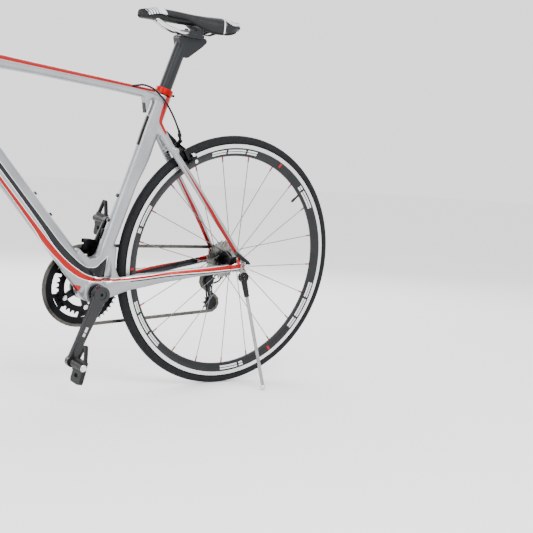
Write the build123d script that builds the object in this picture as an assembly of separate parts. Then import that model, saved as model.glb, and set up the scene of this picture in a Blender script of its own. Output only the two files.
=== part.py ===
from build123d import *
import os
from math import acos, atan2, cos, degrees, hypot, pi, radians, sin, sqrt, tan

# A drop-bar road bicycle that stands on its two tyres and on a small kickstand clamped
# under the rear quick release. Everything is drawn on the upright bicycle: X forward,
# Y to the rider's left, Z up, origin on the floor under the rear axle, in millimetres.
# The last step leans the whole bicycle onto the kickstand's foot.

os.makedirs("parts", exist_ok=True)

# ---- driving dimensions -------------------------------------------------------------
LEAN = 5.5                  # degrees the bicycle leans to its left, onto the kickstand
WHEEL_R = 334.0             # 700 x 23C wheel with its tyre
TYRE_R = 11.5
RIM_EDGE_R = 316.0
RIM_NOSE_R = 281.0
RIM_HALF_W = 10.0
WHEELBASE = 985.0
REAR_OLD = 130.0            # between the rear dropouts
FRONT_OLD = 100.0
BB_X = 402.0                # bottom bracket, ahead of the rear axle
BB_DROP = 70.0
SEAT_ANGLE = 72.7
HEAD_ANGLE = 73.0
FORK_RAKE = 43.0
CRANK = 172.5
CRANK_ANGLE = -67.0         # left arm, from forward, at rest
PITCH = 12.7                # chain
CHAIN_Y = -44.7             # plane of the 50 tooth ring and the 15 tooth sprocket
RING_TEETH = 50
SMALL_RING_TEETH = 34
COGS = (11, 12, 13, 14, 15, 17, 19, 21, 23, 25)
COG_STEP = 3.95
COG_USED = 4                # index of the sprocket that carries the chain
PULLEY_TEETH = 11
FIT = 0.05                  # radial clearance of a running fit

REAR = Vector(0, 0, WHEEL_R)
FRONT = Vector(WHEELBASE, 0, WHEEL_R)
BB = Vector(BB_X, 0, WHEEL_R - BB_DROP)
BASE = (Align.CENTER, Align.CENTER, Align.MIN)
Y_DIR = Vector(0, 1, 0)
SIDES = (1, -1)             # left, right

nodes = {}


# ---- helpers ------------------------------------------------------------------------
def add(name, *solids):
    """Put solids into the named node."""
    nodes.setdefault(name, []).extend(s for shape in solids for s in shape.solids())


def rod(a, b, r, r_end=None):
    """A round bar or cone from a to b."""
    a, b = Vector(*a), Vector(*b)
    plane = Plane(origin=a, z_dir=b - a)
    if r_end is None:
        return plane * Cylinder(r, (b - a).length, align=BASE)
    return plane * Cone(r, r_end, (b - a).length, align=BASE)


def tube(a, b, r, bore):
    """A round tube from a to b."""
    a, b = Vector(*a), Vector(*b)
    past = (b - a).normalized()
    return rod(a, b, r) - rod(a - past, b + past, bore)


def across(centre, y0, y1, r, bore=0):
    """A disc or ring about a lateral axis, between two Y planes."""
    a = (centre.X, y0, centre.Z)
    b = (centre.X, y1, centre.Z)
    return tube(a, b, r, bore) if bore else rod(a, b, r)


def side_plane(y):
    """Sketch plane whose x is forward and y is up, at a lateral offset."""
    return Plane(origin=(0, y, 0), x_dir=(1, 0, 0), z_dir=(0, -1, 0))


def slab(sketch, y0, y1):
    """A side-view sketch extruded between two Y planes."""
    return extrude(side_plane(y0) * sketch, amount=y1 - y0, dir=(0, 1, 0))


def disc2(x, z, r):
    return Pos(x, z) * Circle(r)


def strap(a, b, ra, rb):
    """A link outline: two round ends joined by their tangents."""
    ends = disc2(a[0], a[1], ra) + disc2(b[0], b[1], rb)
    return make_hull(ends.edges())


def ellipse_at(centre, along, half_w, half_h, side=Y_DIR):
    """An ellipse across a tube: half_w along side, half_h at right angles to it."""
    return Plane(origin=centre, x_dir=side, z_dir=along) * Ellipse(half_w, half_h)


def lofted(stations, shrink=0.0):
    """A tube through stations of (centre, direction, half width, half height)."""
    faces = [ellipse_at(c, d, w - shrink, h - shrink) for c, d, w, h in stations]
    return loft([f.faces()[0] for f in faces])


def hollow(stations, wall):
    return lofted(stations) - lofted(stations, wall)


def point(x, z, y=0.0):
    return Vector(x, y, z)


def pitch_radius(teeth):
    return PITCH / (2 * sin(pi / teeth))


def sprocket(teeth, phase, tip=1.1):
    """Toothed outline about the origin, with one tooth gap's centre at the phase angle."""
    rp = pitch_radius(teeth)
    seat = 4.0
    outer = rp + 2.9
    step = 2 * pi / teeth
    edges = []
    flank = radians(62)

    def at(r, a):
        return (r * cos(a), r * sin(a))

    def seat_point(a, turn):
        """A point of the roller seat; turn is measured from the seat's lowest point."""
        cx, cy = at(rp, a)
        return (cx - seat * cos(a + turn), cy - seat * sin(a + turn))

    for k in range(teeth):
        a = phase + k * step
        right, left = seat_point(a, flank), seat_point(a, -flank)
        tip_a = at(outer, a - step / 2 + tip / outer)
        tip_b = at(outer, a + step / 2 - tip / outer)
        tip_c = at(outer, a + step / 2 + tip / outer)
        edges.append(Line(tip_a, right))
        edges.append(ThreePointArc(right, seat_point(a, 0), left))
        edges.append(Line(left, tip_b))
        edges.append(Line(tip_b, tip_c))
    return make_face(Wire(edges))


def toothed(teeth, centre, y, thick, bore, phase):
    """A toothed wheel about a lateral axis, centred on a Y plane."""
    sketch = sprocket(teeth, phase) - Circle(bore)
    disc = slab(sketch, y - thick / 2, y + thick / 2)
    return Pos(centre.X, 0, centre.Z) * disc


# ---- frame --------------------------------------------------------------------------
SEAT_DIR = Vector(-cos(radians(SEAT_ANGLE)), 0, sin(radians(SEAT_ANGLE)))
HEAD_DIR = Vector(-cos(radians(HEAD_ANGLE)), 0, sin(radians(HEAD_ANGLE)))
HEAD_FORE = Vector(sin(radians(HEAD_ANGLE)), 0, cos(radians(HEAD_ANGLE)))
STEER_FOOT = FRONT - HEAD_FORE * FORK_RAKE      # steering axis, level with the front axle
HEAD_LOW = 374.0            # along the steering axis from STEER_FOOT
HEAD_HIGH = 524.0
CUP = 4.0                   # height of each headset cup
SEAT_TOP = 510.0            # along the seat tube from the bottom bracket
COLLAR_H = 15.0
SEAT_R = 19.5
POST_R = 15.8
SHELL_R = 24.0              # bottom bracket shell
SHELL_HALF = 34.0
SKIN = 2.0                  # wall of the carbon tubes


def on_head(t):
    return STEER_FOOT + HEAD_DIR * t


def on_seat(t):
    return BB + SEAT_DIR * t


def frame_parts():
    head = tube(on_head(HEAD_LOW), on_head(HEAD_HIGH), 25, 21)
    shell = across(BB, -SHELL_HALF, SHELL_HALF, SHELL_R + 6)
    seat_outer = loft([
        Plane(origin=on_seat(0), x_dir=(0, 1, 0), z_dir=SEAT_DIR) * Ellipse(24, 19).face(),
        Plane(origin=on_seat(250), x_dir=(0, 1, 0), z_dir=SEAT_DIR) * Ellipse(17, 17.5).face(),
        Plane(origin=on_seat(370) - Vector(3, 0, 1), x_dir=(0, 1, 0), z_dir=SEAT_DIR) * Ellipse(18, 22).face(),
        Plane(origin=on_seat(SEAT_TOP), x_dir=(0, 1, 0), z_dir=SEAT_DIR) * Ellipse(SEAT_R, 20.5).face(),
    ])
    post_bore = rod(on_seat(60), on_seat(SEAT_TOP + 5), POST_R + FIT)
    bb_bore = across(BB, -SHELL_HALF - 1, SHELL_HALF + 1, SHELL_R - 3)
    seat = seat_outer + shell - post_bore - bb_bore

    down_dir = (on_head(437) - BB).normalized()
    down_stations = [
        (BB - down_dir * 2, down_dir, 30, 29),
        (BB + down_dir * 160, down_dir, 25, 28),
        (BB + down_dir * 420, down_dir, 24, 28),
        (on_head(437), down_dir, 21, 30),
    ]
    head_solid = rod(on_head(HEAD_LOW), on_head(HEAD_HIGH), 25)
    down = hollow(down_stations, SKIN) - head_solid - seat_outer - across(BB, -50, 50, SHELL_R + 6)

    top_rear, top_front = point(250, 747), on_head(494)
    level = (top_front - top_rear).normalized()
    top_stations = [
        (top_rear, level, 15, 12.5),
        (point(420, 763), (point(543, 774) - point(300, 751)).normalized(), 17, 12.5),
        (point(560, 775), level, 18, 13),
        (top_front, level, 20, 18),
    ]
    top = hollow(top_stations, SKIN) - head_solid - seat_outer
    top = top - rod(on_seat(SEAT_TOP - 1), on_seat(SEAT_TOP + 60), SEAT_R + 9)

    add("head_tube", head)
    add("seat_tube", seat)
    add("down_tube", max(down.solids(), key=lambda s: s.volume))
    add("top_tube", max(top.solids(), key=lambda s: s.volume))

    stay_cut = seat_outer + shell + across(REAR, -150, 150, 26)
    for side in SIDES:
        chain_stations = [
            (point(371, 271, side * 22), (-0.98, side * 0.12, 0.15), 10, 22),
            (point(300, 286, side * 28), (-0.98, side * 0.13, 0.17), 7.5, 20),
            (point(200, 303, side * 41), (-0.98, side * 0.15, 0.16), 7, 13.5),
            (point(110, 317, side * 54), (-0.98, side * 0.15, 0.13), 7, 11),
            (point(22, 329, side * 66), (-0.99, side * 0.1, 0.12), 5, 10),
        ]
        stay = lofted(chain_stations) - lofted(chain_stations, SKIN) - stay_cut
        add("chainstays", max(stay.solids(), key=lambda s: s.volume))
        seat_stations = [
            (point(253, 668, side * 10), (-0.6, side * 0.15, -0.78), 8.5, 10.5),
            (point(220, 621, side * 22), (-0.6, side * 0.16, -0.76), 7, 9),
            (point(165, 553, side * 33), (-0.63, side * 0.13, -0.76), 6.5, 8.5),
            (point(84, 453, side * 48), (-0.64, side * 0.12, -0.75), 6, 9),
            (point(16, 362, side * 66), (-0.6, side * 0.1, -0.8), 4.5, 8),
        ]
        stay = lofted(seat_stations) - lofted(seat_stations, 1.6) - seat_outer
        stay = stay - rod(on_seat(300), on_seat(SEAT_TOP), 17.8)
        add("seatstays", max(stay.solids(), key=lambda s: s.volume))

    dropouts()
    bridge = rod((BRAKE_REAR.X, -17, BRAKE_REAR.Z), (BRAKE_REAR.X, 17, BRAKE_REAR.Z), 8)
    for stay in nodes["seatstays"][:2]:
        bridge = bridge - stay
    bridge = bridge - rod(BRAKE_REAR - REAR_BRAKE_OUT * 12, BRAKE_REAR + REAR_BRAKE_OUT * 12, 3.05)
    add("seatstays", max(bridge.solids(), key=lambda s: s.volume))


def dropouts():
    """Rear tips that hold the axle, with the derailleur hanger on the right."""
    for side in SIDES:
        y0, y1 = sorted((side * REAR_OLD / 2, side * (REAR_OLD / 2 + 6)))
        plate = strap((0, WHEEL_R), (30, WHEEL_R - 6), 15, 9)
        plate = plate + strap((0, WHEEL_R), (14, WHEEL_R + 26), 15, 8)
        plate = plate - Pos(0, WHEEL_R) * Circle(5.0) - Pos(-2, WHEEL_R - 12) * Rectangle(9.6, 24)
        add("rear_dropouts", cleared(slab(plate, y0, y1)))
    hanger = strap((-3, WHEEL_R - 15), HANGER, 9, 10) - Pos(*HANGER) * Circle(5.05)
    hanger = hanger - Pos(0, WHEEL_R) * Circle(9.5) - Pos(-2, WHEEL_R - 12) * Rectangle(9.6, 24)
    add("rear_dropouts", slab(hanger, -REAR_OLD / 2 - 10, -REAR_OLD / 2 - 6))


def cleared(plate):
    for node in ("chainstays", "seatstays"):
        for solid in nodes[node]:
            plate = plate - solid
    return max(plate.solids(), key=lambda s: s.volume)


HANGER = (-9.0, WHEEL_R - 28)
STAY_DIR = Vector(0.6, 0, 0.8)                  # from the rear axle to the rear brake
REAR_BRAKE_OUT = Vector(-0.8, 0, 0.6)
BRAKE_REAR = REAR + STAY_DIR * 355
FRONT_BRAKE_OUT = HEAD_FORE
BRAKE_FRONT = on_head(357)


def bearings_and_bolts():
    """Headset cups, bottom bracket cups, the seat collar and the small frame bolts."""
    for low, high in ((HEAD_LOW - CUP, HEAD_LOW), (HEAD_HIGH, HEAD_HIGH + CUP)):
        add("bearing_cups", tube(on_head(low), on_head(high), 24, STEERER_R + FIT))
    for low, high in ((HEAD_LOW, HEAD_LOW + 12), (HEAD_HIGH - 12, HEAD_HIGH)):
        add("bearing_cups", tube(on_head(low), on_head(high), 20.98, STEERER_R + FIT))
    for side in SIDES:
        y0, y1 = sorted((side * SHELL_HALF, side * (SHELL_HALF + 10)))
        add("bearing_cups", across(BB, y0, y1, 21.4, SPINDLE_R + FIT))
        y0, y1 = sorted((side * (SHELL_HALF - 14), side * SHELL_HALF))
        add("bearing_cups", across(BB, y0, y1, SHELL_R - 3.02, SPINDLE_R + FIT))

    low, high = on_seat(SEAT_TOP), on_seat(SEAT_TOP + COLLAR_H)
    add("seat_collar", tube(low, high, SEAT_R + 2.5, POST_R + FIT))
    ear = on_seat(SEAT_TOP + COLLAR_H / 2) - Vector(SEAT_DIR.Z, 0, -SEAT_DIR.X) * 25
    add("frame_bolts", rod(ear - Y_DIR * 9, ear + Y_DIR * 9, 3))
    for t in (175, 239):
        face = on_seat(t) + Vector(SEAT_DIR.Z, 0, -SEAT_DIR.X) * 18.5
        add("frame_bolts", rod(face, face + Vector(SEAT_DIR.Z, 0, -SEAT_DIR.X) * 4, 4.5))
    down_dir = (on_head(437) - BB).normalized()
    up = Vector(-down_dir.Z, 0, down_dir.X)
    for t in (216, 280):
        face = BB + down_dir * t + up * 28.6
        add("frame_bolts", rod(face, face + up * 3.5, 4.5))


STEERER_R = 14.3
SPINDLE_R = 12.0


# ---- seat ---------------------------------------------------------------------------
SADDLE_MID = Vector(188, 0, 905)                # centre of the rail clamp
RAIL_Y = 22.0
RAIL_R = 3.5
RAIL_LINE = ((96, 25, 932), (112, 24, 920), (148, RAIL_Y, 905), (228, RAIL_Y, 905),
             (262, 18, 914), (300, 11, 933))


def seat_parts():
    near = [SADDLE_MID + Y_DIR * (s * RAIL_Y) for s in SIDES]
    rails = [rod(place - Vector(50, 0, 0), place + Vector(50, 0, 0), RAIL_R) for place in near]
    post = rod(on_seat(330), on_seat(645), POST_R) - rod(on_seat(329), on_seat(626), POST_R - 2.5)
    corners = disc2(221, 892, 7) + disc2(154, 892, 7) + disc2(164, 882, 7) + disc2(203, 860, 14)
    head = post + slab(make_hull(corners.edges()), -14.5, 14.5)
    head = head + Pos(SADDLE_MID.X, 0, SADDLE_MID.Z - 4.6) * Box(46, 56, 9)
    clamp = Pos(SADDLE_MID.X, 0, SADDLE_MID.Z + 4.2) * Box(38, 56, 8)
    for rail in rails:
        head = head - rail
        clamp = clamp - rail
    for x in (SADDLE_MID.X - 13, SADDLE_MID.X + 13):
        bolt = rod((x, 0, SADDLE_MID.Z - 14), (x, 0, SADDLE_MID.Z + 8.2), 2.5)
        head = head - bolt
        clamp = clamp - bolt
        add("seatpost", bolt + rod((x, 0, SADDLE_MID.Z + 8.2), (x, 0, SADDLE_MID.Z + 12.2), 4.5))
    add("seatpost", max(head.solids(), key=lambda s: s.volume))
    add("seatpost", clamp)
    for s in SIDES:
        path = FilletPolyline(*[(x, s * y, z) for x, y, z in RAIL_LINE], radius=22)
        start = Plane(origin=path @ 0, z_dir=path % 0)
        add("saddle_rails", sweep(start * Circle(RAIL_R), path=path))
    base = loft([saddle_section(x, -3.0, 0.88) for x in (75, 130, 190, 250, 332)])
    for rail in nodes["saddle_rails"]:
        base = base - rail
    add("saddle_shell", max(base.solids(), key=lambda s: s.volume))
    cover = loft([saddle_section(x, 6.5, 1.0) for x in (66, 90, 130, 190, 250, 338)])
    cover = cover - loft([saddle_section(x, -3.0, 0.88) for x in (75, 130, 190, 250, 332)])
    for rail in nodes["saddle_rails"]:
        cover = cover - rail
    add("saddle_cover", max(cover.solids(), key=lambda s: s.volume))


def saddle_half_width(x):
    """Half width of the saddle: a narrow nose that flares towards the tail."""
    flare = 1 / (1 + 2.718 ** ((x - 158) / 26))
    tail = sqrt(max(0.0, 1 - max(0.0, (92 - x) / 34) ** 2))
    return (17.5 + 49 * flare) * tail


def saddle_section(x, lift, scale):
    half = saddle_half_width(x) * scale
    z = 938 + lift
    thick = 12 * scale
    return Plane(origin=(x, 0, z), x_dir=(0, 1, 0), z_dir=(1, 0, 0)) * Ellipse(half, thick).face()


# ---- wheels -------------------------------------------------------------------------
NIPPLE_R = 2.0
SPOKE_R = 1.0
AXLE_R = 8.5
SKEWER_R = 2.5


def ring_about(centre, sketch_points):
    """Turn a closed (radius, y) outline about a lateral axis through centre."""
    edges = Polyline([(centre.X + r, y, centre.Z) for r, y in sketch_points], close=True)
    return revolve(make_face(edges), axis=Axis(centre, (0, 1, 0)))


def rim(centre):
    """Deep V rim, open towards the tyre."""
    outside = [(RIM_EDGE_R, 10), (303, 10), (294, 8.6), (286, 5), (RIM_NOSE_R, 2.2)]
    inside = [(RIM_EDGE_R, 8.2), (303, 8.2), (295, 6.8), (288.5, 3.6), (285, 1.0)]
    right = [(r, -w) for r, w in reversed(outside)]
    back = [(r, -w) for r, w in inside]
    return ring_about(centre, outside + right + back + list(reversed(inside)))


def tyre(centre):
    """Tyre casing with two beads, open towards the rim."""
    middle = WHEEL_R - TYRE_R
    profile = Circle(TYRE_R) - Circle(9.3)
    seat = RIM_EDGE_R + 0.05 - middle
    profile = profile - Pos(seat - 10, 0) * Rectangle(20, 40)
    for s in SIDES:
        profile = profile + Pos(seat - 3, s * 7.5) * Rectangle(6.4, 1.3)
    plane = Plane(origin=(centre.X + middle, 0, centre.Z), x_dir=(1, 0, 0), z_dir=(0, 0, 1))
    return revolve(plane * profile, axis=Axis(centre, (0, 1, 0)))


def at_wheel(centre, r, angle, y):
    """A point of a wheel; the angle is from the top, turning towards the rear."""
    a = radians(angle)
    return Vector(centre.X - r * sin(a), y, centre.Z + r * cos(a))


def wheel(name, centre, spokes, flange_y, valve_angle):
    """Rim, tyre, hub with spokes and nipples, and the valve."""
    valve_a = at_wheel(centre, RIM_NOSE_R + 1, valve_angle, 0)
    valve_b = at_wheel(centre, RIM_NOSE_R - 26, valve_angle, 0)
    add(name + "_rim", rim(centre))
    add(name + "_rim", rod(valve_a, valve_b, 3) - nodes[name + "_rim"][0])
    add(name + "_tyre", tyre(centre))
    left, right = flange_y
    body = across(centre, right - 3, left + 3, 13)
    body = body + across(centre, left - 3, left + 3, 20) + across(centre, right - 3, right + 3, 24)
    body = body - across(centre, right - 10, left + 10, AXLE_R + FIT)
    add(name + "_hub", body)
    for angle, hub_angle, hub_r, y in spokes:
        outer = at_wheel(centre, RIM_NOSE_R - 0.5, angle, 0)
        inner = at_wheel(centre, hub_r, hub_angle, y)
        knee = outer + (inner - outer).normalized() * 13
        add(name + "_hub", rod(outer, knee, NIPPLE_R) - nodes[name + "_rim"][0])
        add(name + "_hub", rod(knee, inner, SPOKE_R) - body)


def wheels():
    rear = []
    for i in range(21):
        angle = REAR_SPOKE_PHASE + i * 360 / 21
        kind = i % 3
        if kind == 1:
            rear.append((angle, angle, 19.0, 34))
        else:
            turn = 58 if kind == 0 else -58
            rear.append((angle, angle + turn, 23.0, -18 + (1.7 if kind == 0 else -1.7)))
    front = []
    for i in range(18):
        side = 1 if i % 2 else -1
        front.append((i * 20.0, i * 20.0, 19 if side > 0 else 23, side * 33))
    wheel("rear", REAR, rear, (34, -18), REAR_VALVE)
    wheel("front", FRONT, front, (33, -33), 190)
    for centre, half, name in ((REAR, REAR_OLD / 2, "rear"), (FRONT, FRONT_OLD / 2, "front")):
        axle = across(centre, 6 - half, half - 6, AXLE_R, SKEWER_R + 0.1)
        add(name + "_axle", axle)
        for s in SIDES:
            y0, y1 = sorted((s * (half - 6), s * half))
            add(name + "_axle", across(centre, y0, y1, 9.3, SKEWER_R + 0.1))
        add(name + "_axle", across(centre, -half - 20, half + 10, SKEWER_R))
        nut = across(centre, -half - 18, -half - (10.1 if name == "rear" else 6.1), 9, SKEWER_R)
        add(name + "_axle", nut)


REAR_SPOKE_PHASE = -11.14
REAR_VALVE = REAR_SPOKE_PHASE + 60.0


# ---- chain and sprockets ------------------------------------------------------------
CAGE_PIVOT = Vector(20, 0, 272)
GUIDE_ARM = 9.0
TENSION_ARM = 62.0


def tangent(c1, s1, c2, s2):
    """Belt tangent between two circles (x, z, radius); s is 1 when the belt turns left."""
    dx, dz = c2[0] - c1[0], c2[1] - c1[1]
    mu = atan2(dz, dx) - acos((c1[2] * s1 - c2[2] * s2) / hypot(dx, dz))
    m = (cos(mu), sin(mu))
    a = (c1[0] + s1 * c1[2] * m[0], c1[1] + s1 * c1[2] * m[1])
    b = (c2[0] + s2 * c2[2] * m[0], c2[1] + s2 * c2[2] * m[1])
    return a, b


def chain_spans(cage):
    """Arcs and straight runs of the chain, each with its length in links."""
    guide = CAGE_PIVOT + Vector(GUIDE_ARM * cos(cage + 1.75), 0, GUIDE_ARM * sin(cage + 1.75))
    lower = CAGE_PIVOT + Vector(TENSION_ARM * cos(cage), 0, TENSION_ARM * sin(cage))
    wheels_ = [
        ((BB.X, BB.Z, pitch_radius(RING_TEETH)), -1, RING_TEETH),
        ((lower.X, lower.Z, pitch_radius(PULLEY_TEETH)), -1, PULLEY_TEETH),
        ((guide.X, guide.Z, pitch_radius(PULLEY_TEETH)), 1, PULLEY_TEETH),
        ((REAR.X, REAR.Z, pitch_radius(COGS[COG_USED])), -1, COGS[COG_USED]),
    ]
    runs = []
    for k, (c, s, teeth) in enumerate(wheels_):
        c2, s2, _ = wheels_[(k + 1) % 4]
        runs.append(tangent(c, s, c2, s2))
    spans = []
    for k, (c, s, teeth) in enumerate(wheels_):
        start, leave = runs[k - 1][1], runs[k][0]
        a0 = atan2(start[1] - c[1], start[0] - c[0])
        a1 = atan2(leave[1] - c[1], leave[0] - c[0])
        sweep_ = (s * (a1 - a0)) % (2 * pi)
        spans.append(("arc", c, s, a0, sweep_, sweep_ / (2 * pi / teeth)))
        spans.append(("line", runs[k][0], runs[k][1], 0, 0, hypot(
            runs[k][1][0] - runs[k][0][0], runs[k][1][1] - runs[k][0][1]) / PITCH))
    return spans, guide, lower


def links_in(cage):
    return sum(span[5] for span in chain_spans(cage)[0])


def solve_cage():
    """Cage angle at which the chain closes with an even number of links."""
    low, high = radians(-125), radians(-85)
    n_low, n_high = links_in(low), links_in(high)
    target = 2 * round(links_in(radians(-101)) / 2)
    if not min(n_low, n_high) < target < max(n_low, n_high):
        target += 2 if target < min(n_low, n_high) else -2
    for _ in range(60):
        mid = (low + high) / 2
        if (links_in(mid) - target) * (n_high - n_low) > 0:
            high = mid
        else:
            low = mid
    return low, target


def chain_rollers(cage, count):
    """Roller centres (x, z) one pitch apart along the whole chain."""
    spans, _, _ = chain_spans(cage)
    rollers = []
    for i in range(count):
        left = i + 0.35
        for kind, a, b, a0, turn, n in spans:
            if left < n:
                break
            left -= n
        if kind == "arc":
            ang = a0 + b * turn * left / n
            rollers.append((a[0] + a[2] * cos(ang), a[1] + a[2] * sin(ang)))
        else:
            f = left / n
            rollers.append((a[0] + (b[0] - a[0]) * f, a[1] + (b[1] - a[1]) * f))
    return rollers


CAGE_ANGLE, LINKS = solve_cage()
ROLLERS = chain_rollers(CAGE_ANGLE, LINKS)
_, GUIDE, TENSION = chain_spans(CAGE_ANGLE)


def phase_of(centre, teeth):
    """Angle of a tooth gap, from the roller that sits deepest in the sprocket."""
    rp = pitch_radius(teeth)
    best = min(ROLLERS, key=lambda q: abs(hypot(q[0] - centre.X, q[1] - centre.Z) - rp))
    on = [q for q in ROLLERS if abs(hypot(q[0] - centre.X, q[1] - centre.Z) - rp) < 0.01]
    q = on[len(on) // 2] if on else best
    return atan2(q[1] - centre.Z, q[0] - centre.X)


def chain():
    """Inner and outer links by turns, drawn once and set along the roller centres."""
    half_in, half_out, t = 1.1, 1.95, 0.8
    blank = make_hull((Pos(0, 0) * Circle(4.1) + Pos(PITCH, 0) * Circle(4.1)).edges())
    holes = Pos(0, 0) * Circle(1.9) + Pos(PITCH, 0) * Circle(1.9)
    inner_plate = slab(blank - holes, half_in, half_in + t)
    inner = inner_plate + slab(blank - holes, -half_in - t, -half_in)
    for x in (0, PITCH):
        inner = inner + tube((x, -half_in, 0), (x, half_in, 0), 3.85, 1.9)
    outer_blank = make_hull((Pos(0, 0) * Circle(3.9) + Pos(PITCH, 0) * Circle(3.9)).edges())
    outer = slab(outer_blank, half_out, half_out + t) + slab(outer_blank, -half_out - t, -half_out)
    for x in (0, PITCH):
        outer = outer + rod((x, -half_out - 0.9, 0), (x, half_out + 0.9, 0), 1.75)
    links = (inner.solids()[0], outer.solids()[0])
    for i, (x, z) in enumerate(ROLLERS):
        x2, z2 = ROLLERS[(i + 1) % LINKS]
        angle = atan2(z2 - z, x2 - x)
        slack = (hypot(x2 - x, z2 - z) - PITCH) / 2
        place = Pos(x + slack * cos(angle), CHAIN_Y, z + slack * sin(angle)) * Rot(0, -degrees(angle), 0)
        add("chain", place * links[i % 2])


def cassette():
    body_r = 17.0
    low = CHAIN_Y - COG_USED * COG_STEP
    body = across(REAR, low - 1.0, -22.0, body_r, AXLE_R + FIT)
    add("cassette", body - across(REAR, -70, 6.1 - REAR_OLD / 2, 10))
    for k, teeth in enumerate(COGS):
        y = low + k * COG_STEP
        phase = phase_of(REAR, COGS[COG_USED]) if k == COG_USED else 0.11 * k
        add("cassette", toothed(teeth, REAR, y, 1.6, body_r, phase))
        if k:
            add("cassette", across(REAR, y - COG_STEP + 0.8, y - 0.8, 18.1, body_r))
    add("cassette", across(REAR, low - 3.5, low - 1.0, 15.5, 10))


# ---- crankset -----------------------------------------------------------------------
def crank_end(side, y):
    a = radians(CRANK_ANGLE) + (0 if side > 0 else pi)
    return Vector(BB.X + CRANK * cos(a), y, BB.Z + CRANK * sin(a))


def arm_loft(side):
    """One crank arm, from its boss to the pedal eye."""
    tip = crank_end(side, side * 66.5)
    root = Vector(BB.X, side * 57.5, BB.Z)
    out = (tip - root).normalized()
    flat = Vector(out.Z, 0, -out.X)
    stations = ((0.0, 38, 17), (0.25, 32, 15), (0.75, 25, 12.5), (1.0, 25, 13))
    faces = []
    for f, width, thick in stations:
        plane = Plane(origin=root + (tip - root) * f, x_dir=flat, z_dir=out)
        faces.append((plane * RectangleRounded(width, thick, thick * 0.36)).faces()[0])
    arm = loft(faces)
    boss_y = sorted((side * 47.5, side * 66.6))
    eye_y = sorted((side * 59.0, side * 73.0))
    return arm + across(root, boss_y[0], boss_y[1], 20.5) + across(tip, eye_y[0], eye_y[1], 13.5)


PEDAL_Y = 107.0
PEDAL_ANGLES = {1: 102.0, -1: 96.5}              # nose of each pedal above forward, at rest
BOLT_CIRCLE = 55.0


def spider_angles():
    """The spider's five arms; one is hidden behind the crank arm."""
    first = radians(CRANK_ANGLE) + pi
    return [first + k * 2 * pi / 5 for k in range(5)]


def around_bb(r, a, y):
    return Vector(BB.X + r * cos(a), y, BB.Z + r * sin(a))


def crankset():
    left = arm_loft(1) - across(BB, 30, 80, SPINDLE_R)
    left = left - across(crank_end(1, 0), 50, 80, 7.0)
    add("crank_arm_left", max(left.solids(), key=lambda s: s.volume))
    add("crank_arm_left", across(BB, 60, 64.5, SPINDLE_R, 4))
    right = arm_loft(-1)
    big_in = CHAIN_Y + 1.0                      # inner face of the large ring
    small_out = big_in + 5.0                    # outer face of the small ring
    spider = across(BB, -50, small_out, 31)
    for a in spider_angles():
        tip, root = around_bb(62, a, big_in), around_bb(20, a, big_in)
        blade = strap((root.X, root.Z), (tip.X, tip.Z), 10, 7)
        spider = spider + slab(blade, big_in, small_out)
    spider = spider - across(BB, CHAIN_Y - 0.6, small_out + 1, 22.3)
    right = right + spider
    right = right + across(BB, -52, 60, SPINDLE_R)
    for a in spider_angles():
        hole = around_bb(BOLT_CIRCLE, a, 0)
        right = right - across(hole, CHAIN_Y - 1, -30, 5.0)
    right = right - across(crank_end(-1, 0), -80, -50, 7.0)
    add("crank_arm_right", max(right.solids(), key=lambda s: s.volume))
    for side in SIDES:
        end = crank_end(side, 0)
        name = "crank_arm_left" if side > 0 else "crank_arm_right"
        y0, y1 = sorted((side * 61, side * 79))
        spindle = across(end, y0, y1, 7.0)
        y0, y1 = sorted((side * 79, side * 128))
        spindle = spindle + across(end, y0, y1, 4.5)
        add(name, spindle)

    for teeth, y, inner in ((RING_TEETH, CHAIN_Y, 62), (SMALL_RING_TEETH, small_out + 1, 50)):
        phase = phase_of(BB, RING_TEETH) if teeth == RING_TEETH else 0.05
        ring = Pos(-BB.X, 0, -BB.Z) * toothed(teeth, BB, y, 2.0, inner, phase)
        tabs = Sketch() + [Pos(57 * cos(a), 57 * sin(a)) * Circle(8.5) for a in spider_angles()]
        if teeth == RING_TEETH:
            ring = Pos(-BB.X, 0, -BB.Z) * toothed(teeth, BB, y, 2.0, 80, phase)
            arms = Sketch()
            for a in spider_angles():
                corners = ((50, a - 0.16), (82, a - 0.3), (82, a + 0.3), (50, a + 0.16))
                spread = Polyline([(r * cos(turn), r * sin(turn)) for r, turn in corners], close=True)
                arms = arms + make_face(spread)
            ring = ring + slab(arms, y - 1, y + 1)
        else:
            ring = ring + slab(tabs, y - 1, y + 1)
        for a in spider_angles():
            ring = ring - slab(Pos(BOLT_CIRCLE * cos(a), BOLT_CIRCLE * sin(a)) * Circle(5.0), y - 2, y + 2)
        ring = ring - slab(Circle(47), y - 2, y + 2)
        add("chainrings", max((Pos(BB.X, 0, BB.Z) * ring).solids(), key=lambda s: s.volume))
    for a in spider_angles():
        hole = around_bb(BOLT_CIRCLE, a, 0)
        bolt = across(hole, CHAIN_Y - 1.0, small_out + 2.0, 5.0)
        bolt = bolt + across(hole, CHAIN_Y - 2.2, CHAIN_Y - 1.0, 6.5)
        bolt = bolt + across(hole, small_out + 2.0, small_out + 3.0, 6.5)
        add("chainrings", bolt)


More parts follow.
